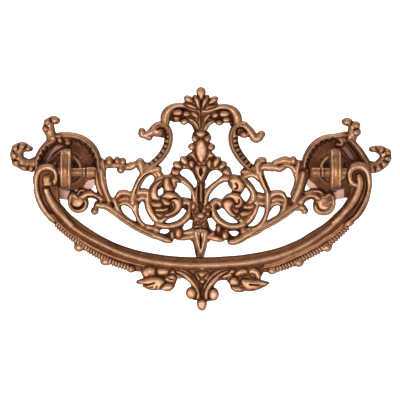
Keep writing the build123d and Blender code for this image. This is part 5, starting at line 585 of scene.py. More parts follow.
# petals and leaves with flat tops: (height mm, outline)
PLATE_PETALS = [
 # left rose: outer crescent, top leaf, cap, hooked body, inner pads
 (3.3,[(161,179.6),(156,182),(152,186.5),(150.3,192),(150.6,197),(152.4,199.4),(157,200.2),(160.4,199.4),(160.6,196.6),(158.4,194.4),(157,190),(158.2,185.6),(160.8,182.6),(163,180.2)]),
 (3.5,[(164.4,178.2),(163.4,184),(164.6,189),(167.4,192),(171.4,191),(173,188.8),(171.2,185),(169.8,181.5),(169.8,178),(167,177.2)]),
 (3.4,[(171.2,177.6),(171.6,181.6),(173.2,185.6),(175,188),(175.2,184.4),(177.4,181.2),(180,180),(177,177.6),(174,176.6)]),
 (3.55,[(161.2,196),(164,192.8),(169,191.6),(174,192.6),(178,195.4),(181,199.6),(181.9,203.8),(180.6,208.4),(177,212.2),(172,214.8),(167.6,216.6),(164.6,215.8),(163.6,214),(167.6,212.8),(171.4,211.2),(174.2,208.6),(175,205),(173.4,202.2),(171,200.6),(169.6,199.2),(166,198),(163,197.4)]),
 (3.4,[(161.2,197.8),(165,199),(169,200.4),(171,202.6),(169.2,205),(165.6,205.4),(163,204),(161.6,201)]),
 (3.3,[(150.8,201.4),(156,202.2),(160.6,201.8),(162.4,204.6),(160.8,206.6),(156,207),(152.2,206)]),
 (3.3,[(154.2,209),(159,208),(164,208.2),(167.6,207),(168,209.8),(164,211.2),(158.6,211.6),(155.2,210.9)]),
 (2.2,[(155,212.8),(160,213),(163.4,214),(161.6,217),(158.6,217.2),(156.4,215.4)]),
 # right rose
 (3.5,[(229.6,179),(231.4,184.4),(232.4,190.2),(236,190.8),(240.4,191.6),(243.8,188.4),(244.6,184.6),(242.4,180.6),(238.6,176.8),(234,176.4)]),
 (3.55,[(223.2,199.4),(226,195.6),(230.6,193),(236,192.4),(240.8,194),(243.4,198),(243.2,203),(240.8,206.8),(237.2,207.8),(234.8,206.8),(234.8,204.8),(235.4,202),(232.6,198.6),(228.8,197.2),(225.2,198.4)]),
 (3.5,[(222.8,203.4),(224.4,200.2),(228.6,199),(232.4,200.4),(234,202.6),(232.2,205.2),(231.4,208.2),(233,211.8),(237.4,215.6),(233,216.4),(228.4,213.6),(224.6,209)]),
 (2.7,[(232.8,207.4),(235,208.8),(238.8,209.2),(238.4,212.4),(236.4,213.2),(233.8,210.8)]),
 (3.35,[(242.8,208),(244,204.8),(248,205),(253,204),(255,205.8),(252,208.8),(247.6,209.2)]),
 (3.35,[(239.8,212.6),(243.6,210.8),(248.6,211.2),(252.4,209.6),(251.4,212.8),(246.4,216),(241.4,216.2)]),
 # crown
 (3.6,[(201,86.8),(197.4,88.6),(196.6,92.4),(198.2,95.8),(201,99.2),(204.2,95.8),(205.6,92.2),(204.6,88.6)]),
 (3.5,[(184.2,97.6),(186.6,95.4),(190,95.8),(192.2,98.4),(193.6,101.8),(189,102.4),(185.2,100.8)]),
 (3.3,[(185.2,104),(190,103.6),(194.6,105.2),(197,108.6),(192,107.8),(187.4,106)]),
 (3.5,[(194.2,97.2),(197,96.2),(199.4,100),(200,105),(199.4,108.8),(197,106.2),(195.2,102),(193.8,99.2)]),
 (3.5,[(202.9,99.8),(205.8,96.4),(208.4,97.8),(207.4,101.4),(204.8,105),(202.6,108.4),(201.9,104)]),
 (3.5,[(209.8,99.6),(212.6,96.6),(216.2,96.8),(217.2,99.8),(214.4,102.2),(209.4,103.8),(208.4,102.6)]),
 (3.3,[(207.4,105.8),(211.6,105),(216,104.9),(213,107),(208,108.4),(205.2,108.8)]),
 # clusters under the arch
 (3.5,[(172.8,112.6),(174.6,109.6),(179.4,108.8),(182.6,111.2),(182,114),(178.4,115.6),(174.2,115)]),
 (3.35,[(173,117.2),(176,116),(179.8,116.6),(179.4,119),(175.6,119.8)]),
 (3.4,[(183,113.6),(184,111),(187.4,110.8),(190,112.6),(189.6,115.4),(186.4,116.2),(183.8,115.6)]),
 (3.35,[(180.8,121.6),(182,119),(186,118.6),(188.4,120.4),(186.6,123.4),(182.6,124.2)]),
 (3.5,[(190.8,112.6),(193.8,111),(197.2,113),(198.8,117.6),(196,117.4),(192.6,115.6)]),
 (3.4,[(188.6,117.4),(193,118.6),(197,122),(198.8,127),(199.2,131.4),(196.2,127),(192.6,122),(188.6,119.6)]),
 (3.5,[(203.6,121.6),(204.8,116.4),(208.4,113.4),(211.2,113.8),(208.8,117.2),(205.8,121.2),(204,124)]),
 (3.45,[(211.8,114.8),(213.8,112.4),(217.4,112.4),(218.8,114.8),(216.6,117.2),(212.8,117.2)]),
 (3.5,[(219.6,113.2),(221.4,110.8),(226.4,110.4),(229.2,112.4),(228.4,115.6),(224,116.6),(220.4,115.8)]),
 (3.4,[(203.2,130.6),(204.4,125.6),(207.4,121.8),(212,119.8),(214.8,120.2),(211.4,123),(208,126.4),(205.8,130.6)]),
 (3.35,[(215.4,122.4),(217,120),(220.8,120),(223.2,122.2),(221,124.8),(217,124.6)]),
 (3.4,[(222.6,119),(224.6,117.2),(229.2,117.4),(230.2,119.6),(227.6,121.6),(223.8,121.4)]),
 # stem: frame, collar, beads, oval, side leaves
 (2.7,[(201,134.6),(196,137.6),(193,146),(192.8,153),(195.4,159.6),(199,165.6),(203.4,165.6),(207.2,159.6),(209.4,153),(209.2,146),(206.2,137.6)]),
 (3.0,[(196.4,131.6),(200.8,130.6),(205,131.6),(204.8,135),(201,137.2),(196.8,135)]),
 (3.35,[(191.8,138.4),(193.4,135.4),(196.4,135.8),(198,138.4),(196.6,141.4),(193.2,141.2)]),
 (3.35,[(204,138.4),(205.6,135.8),(208.8,135.4),(210.4,138.4),(208.8,141.2),(205.4,141.4)]),
 (3.35,[(188.4,146.6),(190.4,143.6),(194,143.8),(195,147),(193,149.8),(190,149.6)]),
 (3.35,[(207.6,147),(208.8,143.8),(212,143.6),(214,146.6),(212.4,149.6),(209.4,149.8)]),
 (3.6,[(201,138.4),(197.8,140.8),(195.8,146),(195.6,152),(197.4,157.6),(200.6,162.4),(202,162.4),(205.2,157.6),(207,152),(206.6,146),(204.4,140.8)]),
 (2.9,[(193.4,150.4),(194.6,152.4),(195.4,156.4),(197.6,160.6),(195.4,160.8),(193.2,157.4),(190.6,155.6),(188.4,154.6),(191.4,152)]),
 (2.9,[(209.2,150.4),(208,152.4),(207.2,156.4),(205.4,160.6),(207.4,160.2),(209,157.6),(212,156.8),(214.6,155),(211.6,152.4)]),
 # leaves round the foot of the oval
 (3.4,[(180.4,156.2),(184.4,156.4),(187,158.6),(188,163.6),(184.8,164.4),(181,161.6),(179.6,158.6)]),
 (3.3,[(172.8,163.4),(174.6,161.8),(179,162.6),(182,165.4),(181.4,168),(177,168),(173.8,166.2)]),
 (3.3,[(171.4,169),(176,169.2),(180.2,169.8),(179,174),(175.4,175),(171.4,173)]),
 (3.3,[(189.4,161.4),(192.4,160.2),(194.2,163),(193.4,166.8),(190.6,166.8),(189,164.6)]),
 (3.35,[(194.8,165.8),(197.4,164.6),(201,165.4),(205,164.6),(207.4,166),(206.6,170.4),(203.8,176.6),(201,181.4),(198,176.6),(195.4,170.6)]),
 (3.35,[(207.6,166.4),(206.8,162.6),(208.8,159.2),(211.6,160.6),(211.4,165.4),(209.8,168)]),
 (3.4,[(213.6,165.6),(213.2,161),(215.6,158.2),(218.8,157.8),(220.2,160),(217.8,164),(215.6,167)]),
 (3.35,[(218.4,167.8),(219.6,164.4),(223.4,162),(226.2,163.2),(225,166.4),(221.4,168.6)]),
 (3.3,[(222.6,172.6),(222.8,169.8),(227,168),(229.6,170.6),(230.2,174.6),(226.4,174.8)]),
 # knots of the cross bar's foot
 (3.35,[(196.4,215.4),(198.6,212.8),(202.8,212.8),(204.8,215.4),(202.8,218),(198.6,218)]),
 (2.5,[(196.4,222.4),(199.4,221.4),(199.2,223.6),(196.8,224.4)]), (2.7,[(201.6,224.6),(203.6,222),(206,221.6),(205.2,224.2),(203.2,226)]),
 (3.0,[(176.4,229),(180.6,229),(182.2,232.4),(181,237),(177,237.6),(175,233.6)]), (3.0,[(170.4,232),(173.6,231.4),(174.4,236),(172.4,239.4),(170,236.6)]),
 (3.0,[(222.4,233.6),(225.4,231.6),(228,233.4),(228,237.6),(224.6,239.4),(222.4,237.2)]), (2.7,[(216.4,226.6),(220,225.4),(221,229),(219.4,232.6),(216.8,231)]),
 (2.9,[(191.6,203.6),(195,203.4),(195.6,207),(193,209.6),(191.2,207.4)]), (2.9,[(205.6,206.4),(208.6,204.6),(210.4,206.6),(209,208.6),(206.2,208.6)]), (2.9,[(205.6,213.6),(208,211.6),(210.6,212.6),(209.4,215),(206.6,215.4)]),
]

# ---- fine carving on the bail ----
BAIL_CUTS = [
 # volutes' grooves
 (1.5, [(51.4,179.4,1.4),(53,176,2.6),(51.2,172.6,4),(46.4,172.4,4.6),(42,174.4,4.2),(40.6,179,4.4),(40.5,186,4.6),(41.5,193,4.6),(44,200.4,4.6),(47.6,207,3.8),(50.4,211.8,2.4)]),
 (1.4, [(356.4,181.2,1.4),(353.8,178.4,2.6),(353.9,174.4,3),(357.4,171.7,3),(361.6,172.4,3),(364.2,176.8,3.2),(365.6,183,4),(365.2,189.4,4.6),(363.6,195.4,5),(360.8,202,5),(356.6,209.4,4.6),(351.6,216,3.8),(346.8,220.6,2)]),
 (0.5, [(42.6,186.3,0.8),(46.4,186.3,1),(50,186.4,0.8)]),
 # flowers
 (0.9, [(143.4,285,0.8),(148,284.8,1.4),(152,283.6,1.2),(154.4,282.6,0.8)]), (0.4, [(149.6,287.8,0.8),(153,286.8,1)]), (0.35, [(155,289.4,0.8),(157,286,1)]), (0.8, [(249.6,284.6,1),(254,284.9,1.5),(259.6,285.2,0.8)]),
 (0.5, [(168.4,278.2,1),(171,279.6,1.2),(173,279.4,1)]),
 # pendant
 (1.3, [(202.4,283.6,1),(202.4,289,2),(202.4,295,2.4),(202.2,298.6,1.4)]),
 (0.3, [(176.4,273.4,1),(180.4,274.6,1.3),(184,276.6,1)]), (0.3, [(228.6,273.6,1),(224.4,274.6,1.3),(220,276.4,1)]),
]
# petals of the bail's flowers and pendant: (half thickness mm, outline)
BAIL_PETALS = [
 # left flower
 (2.15,[(142.4,271.4),(145,268.4),(150,267.4),(154.6,268.6),(155.2,272),(154,275),(150,275.4),(147.4,277.8),(144,276.6),(142.6,274)]),
 (2.15,[(157.4,269.2),(162,268.2),(167,269),(169,271.8),(166.4,274.4),(161.4,275.4),(157.6,274)]),
 (2.3,[(137,280.6),(142,279.8),(147,278),(153,277.4),(159,277.6),(163.4,279.6),(164.2,282.6),(161.4,287),(158.6,289.4),(153,289.8),(147.6,288),(143.6,285.6),(139,282.8)]),
 (2.1,[(164.6,279.6),(166.4,277.4),(169.4,275.4),(172.4,274.6),(175.4,276),(175.8,279.4),(173,282.4),(168.6,282.2)]),
 (2.1,[(161,289.2),(162.6,286.2),(165.4,283.8),(169,284),(173,285),(172.4,288.4),(169,290.6),(164.6,290.8)]),
 # right flower
 (2.15,[(235,275),(236,272),(239.4,269.6),(244,268.8),(247.2,270),(246.8,273.4),(242,274.6),(238.4,276.4)]),
 (2.15,[(249.2,270),(252,268.4),(256,268.8),(259,271.2),(260.2,275.4),(260,279.4),(257.4,279),(255.6,275.4),(252.4,273.6),(249.4,273.4)]),
 (2.3,[(242,279.6),(247,279.6),(253,280.4),(259.6,280.6),(265,281.2),(268.6,283.2),(266,285.4),(261,286.4),(258.6,288.6),(253,289.4),(248,289.6),(244,287),(241.6,283.6)]),
 (2.1,[(229.4,281),(232,278.2),(236,278),(238.6,281),(238,284.6),(233.6,285.6),(230.4,284.4)]),
 (2.1,[(231.4,286.6),(235.6,286.6),(239.6,287),(243.4,289.6),(240,291.6),(235.6,291.4),(232.4,289.4)]),
 # the volutes' broad inner ends
 (1.4,[(43,176.6),(46.4,175.6),(50,176),(50.6,179),(50.8,181.6),(52.4,183.2),(51,185.4),(49.6,186.4),(43.8,186.8),(42.8,182)]),
 # pendant: bands, curls, bud, calyx
 (2.15,[(176,270.8),(182,271.8),(188,275),(193.4,280),(197.4,286),(199.4,292),(199.6,298.4),(196.6,299.6),(195.8,294),(193.6,288.6),(190,283.6),(186,279),(181,275.4),(176.4,272.8)]),
 (2.15,[(229,270.4),(222,272),(215.6,276),(210,281.6),(206,287.6),(204.2,293.4),(204.6,299),(207.4,300),(208.4,294.6),(209.8,289.6),(213,284.6),(216.6,280.4),(221,276),(226,273)]),
 (2.3,[(186.4,290.6),(188.6,287.6),(192.4,288),(195.4,291.4),(195.6,295.6),(193,298.4),(188.8,297.8),(186.4,294.6)]),
 (2.3,[(209.6,292.6),(211.4,289.6),(215.4,289.4),(218.2,292),(218.4,296),(215.6,299.4),(211.6,299.6),(209.4,296.4)]),
 (2.4,[(202,299.6),(198.6,301),(197.2,304.6),(198.8,308.2),(202,310.4),(205,308.2),(206.6,304.6),(205.4,301)]),
 (1.9,[(197.6,271.6),(200,272.4),(202,270.6),(203.8,272.4),(206.8,271.6),(205.4,275.2),(203.4,277.2),(200.4,277.2),(198.6,275)]),
 (1.9,[(200,280.6),(202.4,279.4),(205,280.6),(204.6,283),(202.4,284.4),(200.4,283)]),
]
# the rope edging: where its turns run, (x, y) on the drawing, and their pitch
ROPES = [
 [(56.4,224.6),(62,229.8),(68,234.8),(74,239.8),(79.5,244),(85,247.8),(92,252.3),(99,256.4),(105,259.8),(110,261.9),(116,264.4),(122,266.4),(127.5,268)],
 [(275,270),(279,269.3),(284,267.7),(289,266),(294,263.8),(299,261.5),(304,259),(311,255.3),(318,251.5),(323,248.5),(328,245.1),(333,241.2),(338,236.7),(343,231.9),(346.8,228.2)],
]
ROPE_PITCH = 3.1
# broad ends of the volutes and the wide second moulding of the bar, (half thickness mm, ...)
BAIL_EXTRA_STROKES = [
 (1.8,'r',[(350.6,183.4,4),(353.6,184.4,5),(356.4,184.6,4)]),
 (1.75,'v',[(57,220.6,1.8),(62,225.6,2.2),(68,230.8,2.4),(75,235.8,2.4),(83,241.2,2.4),(90,245.8,2.4),(97,249.4,2.4),(105,253.4,2.4),(113,256.9,2.4),(120,259.4,2.4),(128,262,2.2),(136,264.3,2),(144,266,1.6)]),
 (1.75,'v',[(262,268,1.4),(272,266.2,1.6),(280,264,1.8),(288,260.6,2),(297,256.6,2),(305,252.9,2),(315,247.4,2),(325,241,2),(335,234.2,2),(343,226.8,1.6)]),
 # the ridge is broad where it leaves the volutes
 (2.35,'r',[(46.2,188.4,5.6),(47.4,193,6.6),(49.6,198.4,7.6),(52.8,204,8),(57,209.8,8),(61.6,214.8,7.2),(66.4,219.6,5.8),(72,224.6,4)]),
 (2.35,'r',[(358.8,176.6,6.6),(359.9,181,7.4),(359.6,186,7.2),(357.6,193,7),(354.4,199.4,7),(350,205.8,7),(345,211.6,6.4),(339,217.4,5),(333,222.4,3.6)]),
]


def blur(A, sigma):
    """Gaussian blur, sigma in samples."""
    n = max(1, int(3 * sigma + 0.5))
    k = np.exp(-0.5 * (np.arange(-n, n + 1) / sigma) ** 2)
    k /= k.sum()
    for axis in (0, 1):
        P = np.pad(A, [(n, n) if a == axis else (0, 0) for a in (0, 1)], mode="edge")
        out = np.zeros_like(A)
        m = A.shape[axis]
        for i, w in enumerate(k):
            out += w * (P[i:i + m, :] if axis == 0 else P[:, i:i + m])
        A = out
    return A


def carve(R, depth, pts, floor):
    """Takes a tapering groove out of the crest height."""
    q = spline(pts, 0.6)
    sl = R.window(q[:, 0].min(), q[:, 1].min(), q[:, 0].max(), q[:, 1].max(), q[:, 2].max() + 2)
    X, Y = R.X[sl], R.Y[sl]
    best = np.full(X.shape, 9.0)
    for i in range(len(q) - 1):
        x0, y0, w0 = q[i]
        x1, y1, w1 = q[i + 1]
        ex, ey = x1 - x0, y1 - y0
        t = np.clip(((X - x0) * ex + (Y - y0) * ey) / (ex * ex + ey * ey + 1e-12), 0, 1)
        d = np.hypot(X - x0 - t * ex, Y - y0 - t * ey)
        best = np.minimum(best, d / (0.44 * np.maximum(w0 + (w1 - w0) * t, 0.5) + 0.22))
    p = np.clip(1 - best * best, 0, 1)
    H = R.H[sl]
    R.H[sl] = np.where(H > floor, np.maximum(H - 0.85 * depth * p, floor), H)
    R.T[sl] = np.maximum(R.T[sl], np.minimum(1.3 * p, 1))
    R.D[sl] = np.minimum(R.D[sl], 1.7 * (1 - p) + 0.1)


def rope(R, path):
    """Turns of a rope across the path, each a short rounded ridge."""
    q = spline(path, 0.2)
    s = np.concatenate([[0], np.cumsum(np.hypot(*np.diff(q, axis=0).T))])
    n = int(s[-1] / ROPE_PITCH)
    for k in range(n + 1):
        a = k * s[-1] / n
        x, y = np.interp(a, s, q[:, 0]), np.interp(a, s, q[:, 1])
        b, c = max(0, a - 1.5), min(s[-1], a + 1.5)
        tx, ty = np.interp(c, s, q[:, 0]) - np.interp(b, s, q[:, 0]), np.interp(c, s, q[:, 1]) - np.interp(b, s, q[:, 1])
        L = math.hypot(tx, ty)
        tx, ty = tx / L, ty / L
        nx, ny = ty, -tx            # towards the inside of the bail
        lean = 0.45
        R.stroke(1.95, 'r', [(x + 2.5 * nx - lean * tx, y + 2.5 * ny - lean * ty, 1.7), (x, y, 2.3),
                             (x - 2.1 * nx + lean * tx, y - 2.1 * ny + lean * ty, 1.9)], 0.3)


def round_edge(R, reach):
    """Lets the relief fall away to the casting's edge over the last of its width."""
    u = np.clip(R.F / reach, 0, 1)
    R.H = R.edge + (R.H - R.edge) * (0.25 + 0.75 * np.sqrt(1 - (1 - u) ** 2))


def noise(shape, sigma, seed):
    A = blur(np.random.default_rng(seed).standard_normal(shape), sigma)
    return A / A.std()


def plate_relief():
    R = Relief(4, 82, 398, 268, STEP, PLATE_EDGE)
    for z, p in PLATE_WEBS:
        R.web(z, p)
    for p in (DISC_L, DISC_R):
        R.web(SEAT_T, p)
    for c, prof, q in PLATE_STROKES + PLATE_LIPS:
        R.stroke(c, prof, q)
    for d in PLATE_DOMES:
        R.dome(*d)
    keep = R.F.copy()
    for c, prof, q in PLATE_LEAVES:
        R.stroke(c, prof, q)
    for c, q in PLATE_PETALS:
        R.petal(c, q)
    R.F = keep              # they lie on the metal and leave its outline alone
    near = blur(R.H, 4)     # narrow hollows between high forms are shallow
    R.H = np.maximum(R.H, np.minimum(near - 0.35, R.H + 0.8))
    R.T[(R.H > SEAT_T - 0.01) & (R.H < SEAT_T + 0.01)] = 1.5
    R.F += 0.3
    for p in PLATE_HOLES:
        R.cut(p)
    round_edge(R, 1.5)
    R.H, R.T, R.D = blur(R.H, 0.8), blur(R.T, 0.8), blur(np.minimum(R.D, 2.6), 0.8)
    for d, p in PLATE_CUTS:
        carve(R, d, p, PLATE_EDGE + 0.1)
    R.H, R.T, R.D = blur(R.H, 0.5), blur(R.T, 0.5), blur(R.D, 0.5)
    R.H += 0.018 * noise(R.H.shape, 5, 3) + 0.006 * noise(R.H.shape, 1.6, 4)
    for side in (-1, 1):
        cx = PLATE_X0 + side * STUD_SPACING / 2 / PLATE_UNIT
        r = np.hypot(R.X - cx, R.Y - PLATE_Z0)
        R.H = np.where(r < SEAT_R / PLATE_UNIT, SEAT_T, R.H)
        R.T = np.where(r < SEAT_R / PLATE_UNIT, 0.9, R.T)
        R.F = np.minimum(np.maximum(R.F, SEAT_R / PLATE_UNIT - r), r - STUD_HOLE_R / PLATE_UNIT)
    R.H = np.maximum(R.H, PLATE_EDGE * 0.97)
    return R


def bail_relief():
    R = Relief(28, 158, 378, 316, STEP, 0.6)
    R.web(1.0, BAIL_BAR)
    for z, p in BAIL_WEBS:
        R.web(z, p)
    for c, prof, q in BAIL_STROKES:
        if c == 2.35:       # the bar's great ridge
            R.stroke(2.4, 'k', q)
        elif c == 1.15:       # the rope's core, under its turns
            R.stroke(0.95, prof, [(x, y, w * 0.72) for x, y, w in q])
        else:
            R.stroke(c, prof, q)
    for c, prof, q in BAIL_EXTRA_STROKES:
        R.stroke(c, prof, q)
    for path in ROPES:
        rope(R, path)
    for d in BAIL_DOMES:
        R.dome(*d)
    for c, q in BAIL_PETALS:
        R.petal(c, q)
    R.F += 0.35
    # clear of the left ring's side when the bail is turned right up
    near = (R.Y > 183) & (R.Y < 212) & (R.X > 56) & (R.X < 72)
    R.F = np.where(near, np.minimum(R.F, 59.1 + 0.9 * np.maximum(R.Y - 199.5, 0) - R.X), R.F)
    near = (np.abs(R.Y - 187) < 3) & (R.X < 36)
    R.F = np.where(near, np.minimum(R.F, R.X - 33.2), R.F)
    round_edge(R, 1.5)
    R.H, R.T, R.D = blur(R.H, 0.7), blur(R.T, 0.7), blur(np.minimum(R.D, 2.6), 0.7)
    for d, p in BAIL_CUTS:
        carve(R, d, p, 0.75)
    R.H, R.T, R.D = blur(R.H, 0.45), blur(R.T, 0.45), blur(R.D, 0.45)
    R.H += 0.016 * noise(R.H.shape, 6, 5) + 0.005 * noise(R.H.shape, 1.6, 6)
    R.H = np.maximum(R.H, 0.58)
    return R


# ---- relief to mesh ----
CASES = {
    1: [("a", "t", "l")], 2: [("t", "b", "r")], 3: [("a", "b", "r", "l")], 4: [("r", "c", "m")],
    5: [("a", "t", "l"), ("r", "c", "m")], 6: [("t", "b", "c", "m")], 7: [("a", "b", "c", "m", "l")],
    8: [("l", "m", "d")], 9: [("a", "t", "m", "d")], 10: [("t", "b", "r"), ("l", "m", "d")],
    11: [("a", "b", "r", "m", "d")], 12: [("l", "r", "c", "d")], 13: [("a", "t", "r", "c", "d")],
    14: [("t", "b", "c", "d", "l")], 15: [("a", "b", "c", "d")],
}
RIMS = {1: ["tl"], 2: ["rt"], 3: ["rl"], 4: ["mr"], 5: ["tl", "mr"], 6: ["mt"], 7: ["ml"], 8: ["lm"], 9: ["tm"],
        10: ["rt", "lm"], 11: ["rm"], 12: ["lr"], 13: ["tr"], 14: ["lt"]}


def relief_mesh(name, R, front, back, rim_front, rim_back, to_x, to_z, target):
    """Closed shell of a relief.  front and back give y in mm on the grid; rim_* are y at the outline."""
    F = np.where(R.F == 0, 1e-6, R.F)
    ny, nx = F.shape
    inside = F > 0
    ids = {}
    P = np.full((ny, nx), -1)
    P[inside] = np.arange(inside.sum())
    n = inside.sum()
    hx = inside[:, :-1] != inside[:, 1:]
    vx = inside[:-1] != inside[1:]
    Hid = np.full(hx.shape, -1); Hid[hx] = n + np.arange(hx.sum())
    Vid = np.full(vx.shape, -1); Vid[vx] = n + hx.sum() + np.arange(vx.sum())
    j, i = np.nonzero(hx)
    t = np.clip(F[j, i] / (F[j, i] - F[j, i + 1]), 0.1, 0.9)
    hp = np.column_stack([R.x[i] + t * R.step, R.y[j]])
    j, i = np.nonzero(vx)
    t = np.clip(F[j, i] / (F[j, i] - F[j + 1, i]), 0.1, 0.9)
    vp = np.column_stack([R.x[i], R.y[j] + t * R.step])
    J, I = np.nonzero(inside)
    xy = np.vstack([np.column_stack([R.x[I], R.y[J]]), hp, vp])
    m = len(xy)
    yf = np.concatenate([front[J, I], np.full(m - n, rim_front)])
    yb = np.concatenate([back[J, I], np.full(m - n, rim_back)])
    X, Z = to_x(xy[:, 0]), to_z(xy[:, 1])
    # the rim's back corner is eased by a hair
    co = np.vstack([np.column_stack([X, yf, Z]), np.column_stack([X, yb, Z])]) / 1000
    code = inside[:-1, :-1] * 1 + inside[:-1, 1:] * 2 + inside[1:, 1:] * 4 + inside[1:, :-1] * 8
    tris = []
    for c, polys in CASES.items():
        j, i = np.nonzero(code == c)
        if not len(j):
            continue
        corner = {"a": P[j, i], "b": P[j, i + 1], "c": P[j + 1, i + 1], "d": P[j + 1, i],
                  "t": Hid[j, i], "m": Hid[j + 1, i], "l": Vid[j, i], "r": Vid[j, i + 1]}
        for poly in polys:
            k = [corner[q] for q in poly]
            if len(k) == 4 and c == 15:     # split along the flatter diagonal
                h = np.abs(yf[k[0]] - yf[k[2]]) > np.abs(yf[k[1]] - yf[k[3]])
                k = [np.where(h, k[(q + 1) % 4], k[q]) for q in range(4)]
            for q in range(1, len(k) - 1):
                tris.append(np.column_stack([k[0], k[q + 1], k[q]]))
                tris.append(np.column_stack([k[0], k[q], k[q + 1]]) + m)
        for a, b in RIMS.get(c, []):
            p, q = corner[a], corner[b]
            tris.append(np.column_stack([p, q, q + m]))
            tris.append(np.column_stack([p, q + m, p + m]))
    T = np.vstack(tris)
    me = bpy.data.meshes.new(name)
    me.vertices.add(len(co))
    me.vertices.foreach_set("co", co.ravel())
    me.loops.add(T.size)
    me.loops.foreach_set("vertex_index", T.ravel())
    me.polygons.add(len(T))
    me.polygons.foreach_set("loop_start", np.arange(0, T.size, 3))
    me.update(calc_edges=True)
    me.validate()
    ob = bpy.data.objects.new(name, me)
    bpy.context.collection.objects.link(ob)
    if len(T) > target:
        d = ob.modifiers.new("d", "DECIMATE")
        d.ratio = target / len(T)
        ob.update_tag()
        bpy.context.view_layer.update()
        done = bpy.data.meshes.new_from_object(ob.evaluated_get(bpy.context.evaluated_depsgraph_get()))
        ob.modifiers.remove(d)
        ob.data = done
        bpy.data.meshes.remove(me)
        done.name = name
    print(name, "triangles", len(T), "->", len(ob.data.polygons))
    return ob


def sample(A, R, px, py):
    """Bilinear value of a grid at drawing points."""
    u = np.clip((px - R.x[0]) / R.step, 0, len(R.x) - 1.001)
    v = np.clip((py - R.y[0]) / R.step, 0, len(R.y) - 1.001)
    i, j = u.astype(int), v.astype(int)
    a, b = u - i, v - j
    return ((A[j, i] * (1 - a) + A[j, i + 1] * a) * (1 - b) + (A[j + 1, i] * (1 - a) + A[j + 1, i + 1] * a) * b)


def attribute(ob, name, values):
    at = ob.data.attributes.new(name, "FLOAT", "POINT")
    at.data.foreach_set("value", np.asarray(values, np.float32))


def points(ob):
    co = np.empty(len(ob.data.vertices) * 3, np.float32)
    ob.data.vertices.foreach_get("co", co)
    return co.reshape(-1, 3).astype(float)


def normals(ob):
    no = np.empty(len(ob.data.vertices) * 3, np.float32)
    ob.data.vertex_normals.foreach_get("vector", no)
    return no.reshape(-1, 3).astype(float)


def step01(a, lo, hi):
    t = np.clip((a - lo) / (hi - lo), 0, 1)
    return t * t * (3 - 2 * t)


def finish_relief(ob, R, unit, px, py, low, high, back_y):
    """Wear and painted shade of a casting, from its forms, its height, its slope and its hollows; outlines, steep
    flanks and walls turned from the front are painted darker.
    """
    H = R.H
    gy, gx = np.gradient(blur(H, 0.6), R.step * unit)
    facing = 1 / np.sqrt(1 + gx * gx + gy * gy)
    hollow = (H - blur(H, 4.5)) / 0.5
    fine = (H - blur(H, 1.8)) / 0.16
    core = step01(R.D, 0.05, 1.5) * (0.74 + 0.26 * step01(1 - R.T, 0.15, 0.75))
    core = np.where(R.D < 0.05, step01(1 - R.T, 0.0, 0.5), core)
    # crests and high forms are rubbed bright; outlines and steep flanks are darkened, partly as unrubbed patina and
    # partly as painted shade
    wear_and_shade = 0.84 * ((0.27 + 0.73 * core) * (0.34 + 0.66 * step01(R.F, 0.0, 1.6)) * (0.6 + 0.4 * step01(facing, 0.42, 0.92))
            * (0.72 + 0.28 * step01(H, low, high)))
    wear_and_shade = wear_and_shade - 0.15 * step01(R.T, 1.0, 1.45)         # the flat discs behind the rings are coloured darker
    wear_and_shade = np.clip(wear_and_shade + 0.1 * np.clip(fine, -1.8, 0.8) + 0.05 * np.clip(hollow, -1.5, 1), 0, 1)
    co, no = points(ob), normals(ob)
    w = sample(wear_and_shade, R, px, py)
    # walls turned away from the front are painted dark: painted shade along the outlines
    front = step01(-no[:, 1], 0.05, 0.45)
    rear = step01(no[:, 1], 0.5, 0.9)
    w = w * front + 0.3 * rear
    attribute(ob, "wear_and_shade", w)
    ob.data.polygons.foreach_set("use_smooth", np.ones(len(ob.data.polygons), bool))
    ob.data.set_sharp_from_angle(angle=math.radians(58))
    ob.data.update()


def lathe(name, rows, segs, place, wear_and_shade=None):
    """Turned form.  rows are (r, along, wear and painted shade); place(r, angle, along) gives x, y, z in mm; an
    optional function of (r, angle, along, value) may vary the last.
    """
    n = len(rows)
    a = np.arange(segs) * 2 * math.pi / segs
    co, w = [], []
    for r, s, k in rows:
        for q in a:
            co.append(place(r, q, s))
            w.append(k if wear_and_shade is None else wear_and_shade(r, q, s, k))
    faces = []
    for i in range(n - 1):
        for k in range(segs):
            l = (k + 1) % segs
            faces.append((i * segs + k, i * segs + l, (i + 1) * segs + l, (i + 1) * segs + k))
    faces.append(tuple(range(segs))[::-1])
    faces.append(tuple(range((n - 1) * segs, n * segs)))
    return np.array(co) / 1000, faces, w


def mesh_object(name, parts, sharp=40):
    """One object of closed shells, each (points in m, faces, values of wear and painted shade)."""
    co, faces, wear_and_shade, base = [], [], [], 0
    for c, f, w in parts:
        co.append(c)
        faces += [tuple(v + base for v in q) for q in f]
        wear_and_shade += list(w)
        base += len(c)
    me = bpy.data.meshes.new(name)
    me.from_pydata(np.vstack(co).tolist(), [], faces)
    me.update()
    ob = bpy.data.objects.new(name, me)
    bpy.context.collection.objects.link(ob)
    import bmesh
    bm = bmesh.new()
    bm.from_mesh(me)
    bmesh.ops.recalc_face_normals(bm, faces=bm.faces)
    bmesh.ops.triangulate(bm, faces=[f for f in bm.faces if len(f.verts) > 4])
    bm.to_mesh(me)
    bm.free()
    attribute(ob, "wear_and_shade", wear_and_shade)
    me.polygons.foreach_set("use_smooth", np.ones(len(me.polygons), bool))
    me.set_sharp_from_angle(angle=math.radians(sharp))
    return ob


def arc(cx, cy, r, a0, a1, n):
    return [(cx + r * math.cos(math.radians(a0 + (a1 - a0) * k / n)), cy + r * math.sin(math.radians(a0 + (a1 - a0) * k / n))) for k in range(n + 1)]


